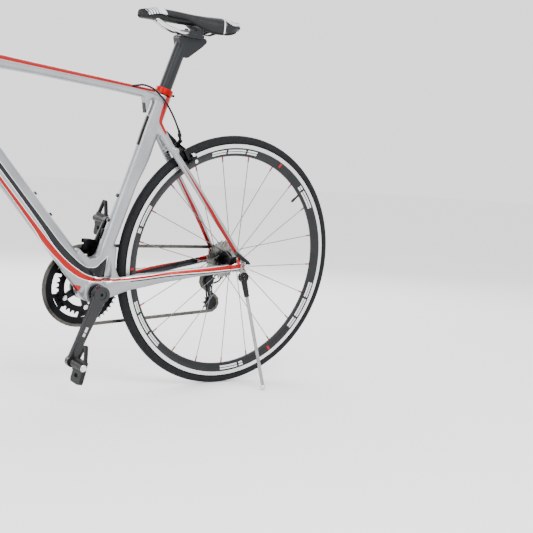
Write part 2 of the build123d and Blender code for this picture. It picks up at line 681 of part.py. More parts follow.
def pedals():
    """Clipless pedals: a barrel on the spindle, a platform, a pointed front loop and a rear claw."""
    for side in SIDES:
        name = "pedal_left" if side > 0 else "pedal_right"
        end = crank_end(side, 0)
        y0, y1 = sorted((side * 80, side * 132))
        barrel = across(Vector(), y0, y1, 9)
        body = Pos(0, side * PEDAL_Y, 4) * Box(30, 50, 10)
        arch = Pos(10, -20) * Circle(4) + Pos(10, 20) * Circle(4) + Pos(41, 0) * Circle(9)
        window = Pos(17, -11) * Circle(3) + Pos(17, 11) * Circle(3) + Pos(39, 0) * Circle(4.5)
        loop = extrude(make_hull(arch.edges()) - make_hull(window.edges()), amount=8)
        flare = Pos(-8, -18) * Circle(5) + Pos(-8, 18) * Circle(5)
        flare = flare + Pos(-34, -15) * Circle(8) + Pos(-34, 15) * Circle(8)
        claw = extrude(make_hull(flare.edges()) - Pos(-23, 0) * Rectangle(9, 16), amount=11)
        pedal = barrel + body + Pos(0, side * PEDAL_Y, 0) * (loop + claw)
        inner0, inner1 = sorted((side * 79.5, side * 128.2))
        pedal = pedal - across(Vector(), inner0, inner1, 4.5 + FIT)
        turn = Pos(end.X, 0, end.Z) * Rot(0, -PEDAL_ANGLES[side], 0)
        add(name, turn * pedal)


# ---- rear derailleur ----------------------------------------------------------------
RD_UPPER = Vector(-4, -87, 290)                 # middle of the links' upper pivots
RD_LOWER = Vector(14, -72, 264)                 # and of their lower pivots
RD_GAP = 12.0                                   # lateral distance between the two links


def rd_axis():
    """Direction of the four parallelogram pivots."""
    run = RD_LOWER - RD_UPPER
    return Vector(-run.Z, 0, run.X).normalized()


def rd_offset(side):
    """From the mid-line to the inner (1) or outer (-1) link."""
    return Y_DIR * (side * RD_GAP / 2)


def rear_derailleur():
    axis = rd_axis()
    hang = Vector(HANGER[0], 0, HANGER[1])
    base_y = -REAR_OLD / 2 - 10
    base = across(hang, base_y - 9, base_y - 0.05, 11) + across(hang, base_y, base_y + 6, 5.0)
    run = (RD_LOWER - RD_UPPER).normalized()
    for s in SIDES:
        up = RD_UPPER + rd_offset(s)
        low = RD_LOWER + rd_offset(s)
        pin_up = rod(up - axis * 9, up + axis * 9, 1.5)
        pin_low = rod(low - axis * 8, low + axis * 8, 1.5)
        side_dir = run.cross(axis)
        plane = Plane(origin=up, x_dir=side_dir, z_dir=axis)
        far = (low - up).dot(plane.y_dir)
        ends = Circle(3.6) + Pos(0, far) * Circle(3.6)
        link = plane * Pos(0, 0, -4.5) * extrude(make_hull(ends.edges()), amount=9)
        link = link - rod(up - axis * 20, up + axis * 20, 1.5 + FIT)
        link = link - rod(low - axis * 20, low + axis * 20, 1.5 + FIT)
        add("rd_link_inner" if s > 0 else "rd_link_outer", link)
        add("rd_base", pin_up)
        add("rd_knuckle", pin_low)
    base = base + clevis(RD_UPPER, -14, 6, -99, -76)
    knuckle = clevis(RD_LOWER, -6, 13, -84, -58)
    for pin in nodes["rd_base"]:
        base = base - pin
    for pin in nodes["rd_knuckle"]:
        knuckle = knuckle - pin
    knuckle = knuckle + across(CAGE_PIVOT, CHAIN_Y - 17, CHAIN_Y - 6.0, 8)
    knuckle = knuckle + across(CAGE_PIVOT, CHAIN_Y - 6.0, CHAIN_Y - 3.9, 3.0)
    add("rd_base", max(base.solids(), key=lambda s: s.volume))
    add("rd_knuckle", max(knuckle.solids(), key=lambda s: s.volume))
    cage_and_pulleys()


def clevis(middle, top, bottom, y0, y1):
    """A forked block round one pair of link pivots; top and bottom are below the pivots."""
    plane = Plane(origin=middle, x_dir=Y_DIR, z_dir=rd_axis())
    lateral = (y0 + y1) / 2 - middle.Y
    block = plane * Pos(lateral, -(top + bottom) / 2) * Box(y1 - y0, bottom - top, 18)
    slot_middle = -12.25 if top < -10 else 12.25
    slot = plane * Pos(lateral, slot_middle) * Box(60, 35.5, 9.8)
    return block - slot


def cage_and_pulleys():
    for y, node in ((CHAIN_Y - 5.9, "outer"), (CHAIN_Y + 4.4, "inner")):
        g, t = (GUIDE.X, GUIDE.Z), (TENSION.X, TENSION.Z)
        plate = strap(g, t, 8, 8) + disc2(g[0], g[1], 10) + disc2(t[0], t[1], 11)
        window = strap((g[0] + (t[0] - g[0]) * 0.3, g[1] + (t[1] - g[1]) * 0.3),
                       (g[0] + (t[0] - g[0]) * 0.7, g[1] + (t[1] - g[1]) * 0.7), 3.5, 3.5)
        plate = plate - window - disc2(g[0], g[1], 2.5) - disc2(t[0], t[1], 2.5)
        if node == "outer":
            plate = plate + disc2(CAGE_PIVOT.X, CAGE_PIVOT.Z, 9)
            plate = plate - disc2(CAGE_PIVOT.X, CAGE_PIVOT.Z, 3.0 + FIT) - disc2(g[0], g[1], 2.5)
        add("rd_cage", slab(plate, y, y + 1.5))
    for centre in (GUIDE, TENSION):
        add("rd_cage", across(centre, CHAIN_Y - 5.9, CHAIN_Y + 5.9, 2.5))
    for centre, name in ((GUIDE, "rd_guide_pulley"), (TENSION, "rd_tension_pulley")):
        phase = phase_of(centre, PULLEY_TEETH)
        add(name, toothed(PULLEY_TEETH, centre, CHAIN_Y, 1.9, 9, phase))
        add(name, across(centre, CHAIN_Y - 3, CHAIN_Y + 3, 9, 2.5 + FIT))


# ---- front derailleur ---------------------------------------------------------------
FD_BASE = Vector(352, -31.5, 398)                 # middle of the links' fixed pivots
FD_LINK = Vector(0, -7.5, -16)                    # from fixed to moving pivots
FD_GAP = 11.0


def front_derailleur():
    """Braze-on plate, two links on fore-and-aft pins, and the cage over the chain."""
    plate = tube(on_seat(126), on_seat(150), 22, 16) - nodes["seat_tube"][0]
    clamp = plate & (Pos(FD_BASE.X, -30, FD_BASE.Z) * Box(80, 44, 80))
    fore = Vector(1, 0, 0)
    arm = Pos(FD_BASE.X, -27, FD_BASE.Z + 8.5) * Box(24.2, 26, 6)
    arm = arm - rod(on_seat(60), on_seat(240), 19.5)
    clamp = clamp + arm
    room = None
    for s in SIDES:
        top = FD_BASE + Vector(0, s * FD_GAP / 2, 0)
        low = top + FD_LINK
        room_piece = rod(top - fore * 8.2, top + fore * 8.2, 5)
        room = room_piece if room is None else room + room_piece
        plane = Plane(origin=top - fore * 8, x_dir=Y_DIR, z_dir=fore)
        local = plane.to_local_coords(low)
        link = plane * extrude(strap2((0, 0), (local.X, local.Y), 3.2, 3.2), amount=16)
        link = link - rod(top - fore * 20, top + fore * 20, 1.5 + FIT)
        link = link - rod(low - fore * 20, low + fore * 20, 1.5 + FIT)
        add("fd_link_inner" if s > 0 else "fd_link_outer", link)
        add("fd_clamp", rod(top - fore * 12, top + fore * 12, 1.5))
        add("fd_cage", rod(low - fore * 11, low + fore * 11, 1.5))
    for end in (-1, 1):
        ear = Pos(FD_BASE.X + end * 10.3, FD_BASE.Y, FD_BASE.Z + 2.5) * Box(3.6, 20, 18)
        clamp = clamp + ear
    clamp = clamp - room
    for pin in nodes["fd_clamp"]:
        clamp = clamp - pin
    add("fd_clamp", max(clamp.solids(), key=lambda s: s.volume))
    cage = None
    inner_r, outer_r = pitch_radius(RING_TEETH) - 9, pitch_radius(RING_TEETH) + 17
    for y, low_r in ((CHAIN_Y - 7.0, pitch_radius(RING_TEETH) + 7), (CHAIN_Y + 5.2, inner_r)):
        band = Pos(BB.X, BB.Z) * (Circle(outer_r) - Circle(low_r))
        keep = Pos(BB.X - 34, BB.Z + 112) * Rectangle(84, 52)
        plate = slab(band & keep, y, y + 1.2)
        cage = plate if cage is None else cage + plate
    roof_z = BB.Z + outer_r - 9
    cage = cage + Pos(BB.X - 46, CHAIN_Y - 0.3, roof_z) * Box(16, 11.5, 1.5)
    low_mid = FD_BASE + FD_LINK
    for end in (-1, 1):
        cage = cage + Pos(low_mid.X + end * 9.7, low_mid.Y, low_mid.Z) * Box(2.6, 19, 8)
    cage = cage + Pos(low_mid.X, low_mid.Y - 1, low_mid.Z - 5.2) * Box(22, 16, 2)
    for pin in nodes["fd_cage"]:
        cage = cage - pin
    add("fd_cage", max(cage.solids(), key=lambda s: s.volume))


# ---- brakes -------------------------------------------------------------------------
PAD_GAP = 1.5
BRAKE_REACH = 47.0                              # pivot bolt down to the brake track
SIDE_PIVOT = 23.0                               # lateral offset of the second pivot
BRAKE_STANDOFF = 14.0                           # from the frame's bolt hole to the arms


def caliper(name, mount, out, down, gap, base_node):
    """Dual-pivot caliper: a base with two pivots, and two arms in front of each other."""
    def sketch_plane(depth):
        plane = Plane(origin=mount + out * depth, x_dir=Y_DIR, z_dir=out)
        return plane, (1 if plane.y_dir.dot(down) < 0 else -1)

    plane, up = sketch_plane(gap)
    pivots = {1: (0.0, 0.0), -1: (-SIDE_PIVOT, 2.0 * up)}
    base = plane * extrude(strap2(pivots[1], pivots[-1], 8, 6), amount=4)
    base = base + rod(mount - out * 14, mount + out * (gap + 22), 3.0)
    side = plane.origin + Y_DIR * pivots[-1][0] + plane.y_dir * pivots[-1][1]
    base = base + rod(side, side + out * 22, 3.0)
    add(base_node, base)
    for s, depth in ((1, gap + 4.1), (-1, gap + 12.3)):
        plane, up = sketch_plane(depth)
        px, py = pivots[s]
        knee = (s * 27.0, -14.0 * up)
        foot = (s * 21.0, -BRAKE_REACH * up)
        arm = extrude(strap2((px, py), knee, 8, 6) + strap2(knee, foot, 6, 5.5), amount=7.5)
        tail = (-30.0, 24.0 * up) if s > 0 else (-42.0, 26.0 * up)
        arm = arm + extrude(strap2((px, py), tail, 7, 5), amount=7.5)
        arm = plane * arm
        arm = arm - rod(plane.origin - out * 60 + Y_DIR * px + plane.y_dir * py,
                        plane.origin + out * 60 + Y_DIR * px + plane.y_dir * py, 3.0 + FIT)
        if s < 0:
            arm = arm - rod(mount - out * 20, mount + out * 60, 9.0)
        node = name + ("_arm_left" if s > 0 else "_arm_right")
        add(node, arm.solids()[0])
        mid = mount + down * BRAKE_REACH + out * (depth + 3.7)
        inner_face = RIM_HALF_W + PAD_GAP
        flat = Plane(origin=mid, x_dir=out, z_dir=Y_DIR)
        holder = flat * Pos(0, 0, s * (inner_face + 6.5)) * Box(54, 10, 3)
        pad = flat * Pos(0, 0, s * (inner_face + 2.5)) * Box(50, 8.5, 5)
        bolt = rod(mid + Y_DIR * (s * 31.5), mid + Y_DIR * (s * (inner_face + 8)), 3)
        nodes[node][-1] = (nodes[node][-1] - bolt).solids()[0]
        add(node, holder)
        add(node, pad)
        add(node, bolt)


def strap2(a, b, ra, rb):
    return make_hull((Pos(*a) * Circle(ra) + Pos(*b) * Circle(rb)).edges())


def brakes():
    down_rear = -STAY_DIR
    caliper("rear_brake", BRAKE_REAR, REAR_BRAKE_OUT, down_rear, BRAKE_STANDOFF, "rear_brake_base")
    down_front = -HEAD_DIR
    caliper("front_brake", BRAKE_FRONT, FRONT_BRAKE_OUT, down_front, 24.0, "front_brake_base")


# ---- steering -----------------------------------------------------------------------
STEM_LOW, STEM_HIGH = 543.0, 583.0
STEM_DIR = Vector(cos(radians(11)), 0, sin(radians(11)))
BAR = on_head((STEM_LOW + STEM_HIGH) / 2) + STEM_DIR * 105
BAR_CLAMP_R = 15.9
BAR_R = 11.9
HOOD_Y = 207.0
LEVER_PIVOT = (150.0, -6.0)                     # ahead of the bar's centre, and above it


def bar_path(side):
    pts = [(0, 78, 0), (0, 200, 0), (86, 206, -4), (90, 210, -132), (-42, 212, -128)]
    return FilletPolyline(*[(BAR.X + x, side * y, BAR.Z + z) for x, y, z in pts], radius=[38, 42, 56])


def steering():
    crown = loft([
        (Plane(origin=on_head(344), x_dir=Y_DIR, z_dir=HEAD_DIR) * RectangleRounded(62, 40, 12)).faces()[0],
        (Plane(origin=on_head(370), x_dir=Y_DIR, z_dir=HEAD_DIR) * RectangleRounded(48, 46, 20)).faces()[0],
    ])
    fork = crown + rod(on_head(366), on_head(STEM_HIGH), STEERER_R)
    for side in SIDES:
        stations = [
            (on_head(352) + Y_DIR * (side * 25), -HEAD_DIR, 8.5, 20),
            (on_head(250) + Y_DIR * (side * 33) + HEAD_FORE * 2, -HEAD_DIR, 8, 18),
            (on_head(120) + Y_DIR * (side * 43) + HEAD_FORE * 14, -HEAD_DIR, 6.5, 13),
            (on_head(22) + Y_DIR * (side * 51) + HEAD_FORE * 34, -HEAD_DIR, 5, 9),
        ]
        blade = lofted(stations)
        y0, y1 = sorted((side * FRONT_OLD / 2, side * (FRONT_OLD / 2 + 6)))
        low = on_head(30) + HEAD_FORE * 33
        tip = slab(strap((FRONT.X, FRONT.Z), (low.X, low.Z), 13, 8), y0, y1)
        tip = tip - across(FRONT, -80, 80, 5.0)
        tip = tip - Pos(FRONT.X, 0, FRONT.Z - 12) * Box(9.6, 200, 24)
        fork = fork + blade + tip
    fork = fork - rod(BRAKE_FRONT - HEAD_FORE * 60, BRAKE_FRONT + HEAD_FORE * 60, 3.05)
    fork = fork - rod(on_head(375), on_head(STEM_HIGH + 5), STEERER_R - 2.5)
    fork = fork - ring_about(FRONT, [(338, -18), (338, 18), (200, 18), (200, -18)])
    add("fork", max(fork.solids(), key=lambda s: s.volume))

    steerer = rod(on_head(500), on_head(STEM_HIGH + 20), STEERER_R)
    clamp = across(BAR, -21, 21, 21.5)
    stem = rod(on_head(STEM_LOW), on_head(STEM_HIGH), 19) + rod(on_head(563), BAR, 15.5) + clamp
    stem = stem - steerer - across(BAR, -40, 40, BAR_CLAMP_R)
    front = Plane(origin=BAR, x_dir=Y_DIR, z_dir=STEM_DIR) * Pos(0, 0, 15) * Box(60, 60, 30)
    add("stem", max((stem - front).solids(), key=lambda s: s.volume))
    plate = (clamp - across(BAR, -40, 40, BAR_CLAMP_R)) & (Plane(origin=BAR, x_dir=Y_DIR, z_dir=STEM_DIR)
                                                          * Pos(0, 0, 16) * Box(60, 60, 30))
    add("stem", max(plate.solids(), key=lambda s: s.volume))
    for low in (HEAD_HIGH + CUP, HEAD_HIGH + CUP + 5, HEAD_HIGH + CUP + 10):
        add("stem", tube(on_head(low), on_head(low + 5), 17.5, STEERER_R))
    cap = rod(on_head(STEM_HIGH), on_head(STEM_HIGH + 4), 17.5)
    add("stem", cap)

    bar = across(BAR, -60, 60, BAR_CLAMP_R, BAR_CLAMP_R - 2)
    for side in SIDES:
        a, b = (BAR.X, side * 60, BAR.Z), (BAR.X, side * 78, BAR.Z)
        bar = bar + (rod(a, b, BAR_CLAMP_R, BAR_R) - rod(a, b, BAR_CLAMP_R - 2, BAR_R - 2))
        path = bar_path(side)
        start = Plane(origin=path @ 0, z_dir=path % 0)
        bar = bar + sweep(start * (Circle(BAR_R) - Circle(BAR_R - 2)), path=path)
    add("handlebar", bar)

    for side in SIDES:
        path = bar_path(side)
        start = Plane(origin=path @ 0, z_dir=path % 0)
        solid_bar = sweep(start * Circle(BAR_R + 0.01), path=path)
        hood = hood_solid(side) - solid_bar - lever_room(side)
        hood = max(hood.solids(), key=lambda s: s.volume)
        pin_at = Vector(BAR.X + LEVER_PIVOT[0], side * HOOD_Y, BAR.Z + LEVER_PIVOT[1])
        pin = rod(pin_at - Y_DIR * 12, pin_at + Y_DIR * 12, 2.0)
        add("lever_hoods", (hood - pin).solids()[0])
        add("lever_hoods", pin)
        wrap = sweep(start * (Circle(BAR_R + 2.6) - Circle(BAR_R)), path=path) - hood_solid(side)
        for piece in wrap.solids():
            if piece.volume > 2000:
                add("bar_tape", piece)
        plug_at, plug_dir = path @ 1, path % 1
        add("bar_tape", rod(plug_at, plug_at + plug_dir * 4, BAR_R + 2.6))
        levers(side, pin_at)


def hood_solid(side):
    stations = [
        (78, -14, (1, 0, 0.1), 15, 23),
        (108, -4, (1, 0, 0.15), 15.5, 19),
        (142, 4, (1, 0, 0.3), 14, 19),
        (163, 20, (0.6, 0, 0.8), 11, 15),
        (170, 42, (0.15, 0, 1), 8, 9),
    ]
    faces = []
    for x, z, d, w, h in stations:
        plane = Plane(origin=(BAR.X + x, side * HOOD_Y, BAR.Z + z), x_dir=(0, 1, 0), z_dir=d)
        faces.append((plane * Ellipse(w, h)).faces()[0])
    return loft(faces)


def lever_room(side):
    x, z = BAR.X + LEVER_PIVOT[0], BAR.Z + LEVER_PIVOT[1]
    slot = across(Vector(x, 0, z), side * HOOD_Y - 7.4, side * HOOD_Y + 7.4, 10.5)
    return slot + Pos(x - 3, side * HOOD_Y, z - 20) * Box(38, 14.8, 40)


def levers(side, pin_at):
    word = "left" if side > 0 else "right"
    head = across(pin_at, pin_at.Y - 6.9, pin_at.Y + 6.9, 8.5)
    points = ((0, -4, 6.0, 7), (9, -38, 5.5, 6), (13, -74, 7, 4.5), (6, -108, 6, 3.5))
    dirs = ((0.2, 0, -1), (0.2, 0, -1), (-0.05, 0, -1), (-0.3, 0, -1))
    faces = []
    for (x, z, w, h), d in zip(points, dirs):
        plane = Plane(origin=pin_at + Vector(x, 0, z), x_dir=Y_DIR, z_dir=d)
        faces.append((plane * Ellipse(w, h)).faces()[0])
    blade = head + loft(faces) - across(pin_at, pin_at.Y - 30, pin_at.Y + 30, 2.0 + FIT)
    hinge = pin_at + Vector(-11, 0, -40)
    pin_a, pin_b = hinge + Vector(-3.5, 0, 0), hinge + Vector(16, 0, 0)
    pin = rod(pin_a, pin_b, 1.5)
    blade = max((blade - pin).solids(), key=lambda s: s.volume)
    add("brake_lever_" + word, blade)
    add("brake_lever_" + word, pin)
    paddle = Pos(hinge.X, hinge.Y, hinge.Z) * Box(5, 8, 8)
    paddle = paddle + Pos(hinge.X + 2, hinge.Y - side * 3, hinge.Z - 22) * Box(4, 20, 42)
    paddle = paddle - rod(hinge - Vector(20, 0, 0), hinge + Vector(20, 0, 0), 1.5 + FIT)
    add("shift_paddle_" + word, max(paddle.solids(), key=lambda s: s.volume))


# ---- quick releases and kickstand ---------------------------------------------------
STAND_PIVOT = Vector(0, 76.5, 306)
FOOT_R = 7.75
SIGHT_AT_FOOT = Vector(-79, 113, 12)            # a point of the line that the foot lies on
SIGHT_DIR = Vector(0.597, 0.7624, 0.2766)


def foot_centre():
    """Where the ball foot rests on the leaned floor."""
    lean = radians(LEAN)
    low = SIGHT_AT_FOOT.Z * cos(lean) - SIGHT_AT_FOOT.Y * sin(lean)
    gain = SIGHT_DIR.Z * cos(lean) - SIGHT_DIR.Y * sin(lean)
    return SIGHT_AT_FOOT + SIGHT_DIR * ((FOOT_R - TYRE_R * (1 - cos(lean)) - low) / gain)


FOOT = foot_centre()


def kickstand():
    leg_dir = (FOOT - STAND_PIVOT).normalized()
    axis = Vector(0, -leg_dir.Z, leg_dir.Y).normalized()
    face_y = REAR_OLD / 2 + 6
    slope = axis.Z / axis.Y
    bend_z = STAND_PIVOT.Z + (STAND_PIVOT.Y - face_y - 1.5) / slope
    foot_z = STAND_PIVOT.Z - 12
    foot_y = STAND_PIVOT.Y - 1.5 + 12 * slope
    strip = [(face_y, WHEEL_R + 12), (face_y, bend_z), (foot_y, foot_z),
             (foot_y + 3, foot_z), (face_y + 3, bend_z), (face_y + 3, WHEEL_R + 12)]
    edges = Polyline([(-10, y, z) for y, z in strip], close=True)
    bent = extrude(make_face(edges), amount=20, dir=(1, 0, 0))
    outline = strap((0, WHEEL_R), (0, STAND_PIVOT.Z), 9.7, 9.7) - disc2(0, WHEEL_R, SKEWER_R + 0.2)
    outline = outline - Pos(0, WHEEL_R + 8) * Rectangle(2 * SKEWER_R + 0.4, 16)
    plate = bent & slab(outline, 40, 120)
    plate = plate - rod(STAND_PIVOT - axis * 20, STAND_PIVOT + axis * 20, 4.0 + FIT)
    add("kickstand_plate", max(plate.solids(), key=lambda s: s.volume))

    head = rod(STAND_PIVOT - axis * 7, STAND_PIVOT + axis * 7, 12.5)
    neck = rod(STAND_PIVOT + leg_dir * 4, STAND_PIVOT + leg_dir * 50, 8.5, 6.8)
    housing = head + neck
    slot = rod(STAND_PIVOT - axis * (1.5 + FIT), STAND_PIVOT + axis * (1.5 + FIT), 16.0)
    housing = housing - slot - rod(STAND_PIVOT - axis * 20, STAND_PIVOT + axis * 20, 4.0)
    tube_top = STAND_PIVOT + leg_dir * 22
    housing = housing - rod(tube_top, FOOT, 4.5)
    add("kickstand_leg", max(housing.solids(), key=lambda s: s.volume))
    bolt = rod(STAND_PIVOT - axis * 8.5, STAND_PIVOT + axis * 8.5, 4.0)
    bolt = bolt + rod(STAND_PIVOT + axis * 7, STAND_PIVOT + axis * 9.5, 5.3)
    bolt = bolt + rod(STAND_PIVOT - axis * 9.0, STAND_PIVOT - axis * 7, 6)
    add("kickstand_leg", bolt)
    ball = Pos(FOOT.X, FOOT.Y, FOOT.Z) * Sphere(FOOT_R)
    add("kickstand_leg", rod(tube_top, FOOT, 4.5) - ball)
    add("kickstand_leg", ball)


def quick_release(name, centre, half, stand):
    """Cam barrel on the skewer's left end and the lever that turns about it."""
    y = half + 6 + stand
    cam = Vector(centre.X, y + 9, centre.Z)
    body = across(centre, y, y + 15, 8.5)
    axis = QR_CAM_DIR
    tunnel = rod(cam - axis * 20, cam + axis * 20, 4.5 + FIT)
    skewer_hole = across(centre, y - 1, y + 5, SKEWER_R)
    body = body - tunnel - skewer_hole
    add(name + "_axle", max(body.solids(), key=lambda s: s.volume))
    lever = rod(cam - axis * 9.2, cam + axis * 11, 4.5)
    grip = loft([
        (Plane(origin=cam + axis * 9.7, x_dir=Y_DIR, z_dir=axis) * Ellipse(5, 7)).faces()[0],
        (Plane(origin=cam + axis * 14, x_dir=Y_DIR, z_dir=axis) * Ellipse(5, 7)).faces()[0],
    ])
    arm = rod(cam + axis * 13.2, cam + axis * 15.2 + QR_REACH * 52 + Y_DIR * 4, 4.2, 6.0)
    add(name + "_qr_lever", lever + grip + arm)


QR_CAM_DIR = Vector(-0.45, 0, 0.893)
QR_REACH = Vector(0.893, 0, 0.45)


# ---- cables -------------------------------------------------------------------------
HOUSING_R = 2.4


def housing(points, radii):
    path = FilletPolyline(*points, radius=radii)
    start = Plane(origin=path @ 0, z_dir=path % 0)
    return sweep(start * Circle(HOUSING_R), path=path)


def cable_runs():
    rear = [(342, 12, 764), (318, 22, 771), (290, 26, 763), (256, 27, 737), (226, 24, 699), (206, 20, 668)]
    gear = [(66, -73, 318), (28, -86, 322), (-22, -92, 318), (-50, -90, 288), (-38, -84, 262),
            (-20, -80, 258)]
    b = BAR
    front = [(b.X - 19, 60, b.Z - 10), (b.X + 4, 46, b.Z - 30), (b.X + 6, 30, b.Z - 75),
             (b.X - 4, 26, b.Z - 118)]
    top_in = [(b.X - 19, -62, b.Z - 10), (b.X + 8, -58, b.Z - 34), (b.X - 10, -46, b.Z - 70),
              (b.X - 60, -34, b.Z - 100), (b.X - 112, -26, b.Z - 112)]
    down_in = [(b.X - 19, 72, b.Z - 10), (b.X + 10, 66, b.Z - 40), (b.X - 4, 48, b.Z - 90),
               (b.X - 50, 36, b.Z - 140), (b.X - 96, 28, b.Z - 176)]
    return [rear, gear, front, top_in, down_in]


def cables():
    for pts in cable_runs():
        solid = housing([Vector(*p) for p in pts], bend_radii(pts))
        solid = solid - nodes["top_tube"][0] - nodes["down_tube"][0]
        add("cables", max(solid.solids(), key=lambda s: s.volume))


def bend_radii(points):
    """Each bend as large as its two runs allow."""
    radii = []
    for a, b, c in zip(points, points[1:], points[2:]):
        u, v = Vector(*b) - Vector(*a), Vector(*c) - Vector(*b)
        turn = radians(u.get_angle(v))
        radii.append(0.45 * min(u.length, v.length) / tan(turn / 2))
    return radii


# ---- build --------------------------------------------------------------------------
def build():
    frame_parts()
    bearings_and_bolts()
    seat_parts()
    wheels()
    chain()
    cassette()
    crankset()
    pedals()
    rear_derailleur()
    front_derailleur()
    brakes()
    steering()
    kickstand()
    quick_release("rear", REAR, REAR_OLD / 2, 3.0)
    quick_release("front", FRONT, FRONT_OLD / 2, 0)
    cables()
    tilt = radians(LEAN)
    lean = Pos(0, -TYRE_R * sin(tilt), TYRE_R * (1 - cos(tilt))) * Rot(-LEAN, 0, 0)
    for name, solids in sorted(nodes.items()):
        export_step(lean * Compound(children=solids), os.path.join("parts", name + ".step"))


build()
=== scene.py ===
"""Looks of the road bicycle: paint, carbon, leather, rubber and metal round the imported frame."""
import math

import bmesh
import bpy
from mathutils import Matrix, Vector


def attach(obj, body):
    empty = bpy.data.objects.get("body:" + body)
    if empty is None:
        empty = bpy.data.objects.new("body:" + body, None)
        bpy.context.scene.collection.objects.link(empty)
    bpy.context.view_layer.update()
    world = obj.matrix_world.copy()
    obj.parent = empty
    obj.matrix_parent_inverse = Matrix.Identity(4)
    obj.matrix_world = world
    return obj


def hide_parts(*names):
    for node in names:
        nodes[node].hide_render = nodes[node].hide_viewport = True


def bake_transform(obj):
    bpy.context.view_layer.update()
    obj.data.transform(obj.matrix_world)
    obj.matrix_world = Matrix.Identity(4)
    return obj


# The upright bicycle has X forward, Y to its left, Z up and its origin under the rear axle.
# The row frame leans it onto the kickstand. Lengths are metres.
MM = 0.001
LEAN = math.radians(5.5)
TYRE_R = 11.5 * MM
WHEEL_R = 334 * MM
RIM_NOSE_R = 281 * MM
TRACK_R = 303 * MM
SEAT_ANGLE = math.radians(72.7)
HEAD_ANGLE = math.radians(73)
Y_DIR = Vector((0, 1, 0))
SIDES = (1, -1)

LEANED = (
    Matrix.Translation((0, -TYRE_R * math.sin(LEAN), TYRE_R * (1 - math.cos(LEAN))))
    @ Matrix.Rotation(-LEAN, 4, "X")
)
UPRIGHT = LEANED.inverted()


def mm(x, y, z):
    return Vector((x, y, z)) * MM


REAR = mm(0, 0, 334)
FRONT = mm(985, 0, 334)
BB = mm(402, 0, 264)
SEAT_DIR = Vector((-math.cos(SEAT_ANGLE), 0, math.sin(SEAT_ANGLE)))
SEAT_FORE = Vector((math.sin(SEAT_ANGLE), 0, math.cos(SEAT_ANGLE)))
HEAD_DIR = Vector((-math.cos(HEAD_ANGLE), 0, math.sin(HEAD_ANGLE)))
HEAD_FORE = Vector((math.sin(HEAD_ANGLE), 0, math.cos(HEAD_ANGLE)))
STEER_FOOT = FRONT - HEAD_FORE * 43 * MM


def on_seat(t):
    return BB + SEAT_DIR * t * MM


def on_head(t):
    return STEER_FOOT + HEAD_DIR * t * MM


BAR = on_head(563) + Vector((math.cos(math.radians(11)), 0, math.sin(math.radians(11)))) * 105 * MM
STAND_PIVOT = mm(0, 76.5, 306)
STAND_FOOT = mm(-59.57, 137.81, 21.0)

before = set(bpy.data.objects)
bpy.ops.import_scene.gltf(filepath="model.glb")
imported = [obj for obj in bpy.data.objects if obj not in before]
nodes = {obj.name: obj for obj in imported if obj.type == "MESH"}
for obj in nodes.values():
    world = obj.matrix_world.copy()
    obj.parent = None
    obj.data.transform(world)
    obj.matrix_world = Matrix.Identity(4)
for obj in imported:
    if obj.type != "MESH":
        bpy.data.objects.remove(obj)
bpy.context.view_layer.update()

# ---- colours, linear ----
SILVER = (0.31, 0.325, 0.345)
SILVER_SHADE = (0.24, 0.25, 0.27)
RED = (0.34, 0.001, 0.001)
DARK_RED = (0.22, 0.001, 0.001)
PANEL = (0.007, 0.008, 0.010)
BLACK = (0.003, 0.003, 0.0035)
CHARCOAL = (0.008, 0.009, 0.011)
WHITE = (0.8, 0.8, 0.8)
ALLOY = (0.36, 0.365, 0.375)
STEEL = (0.34, 0.34, 0.33)


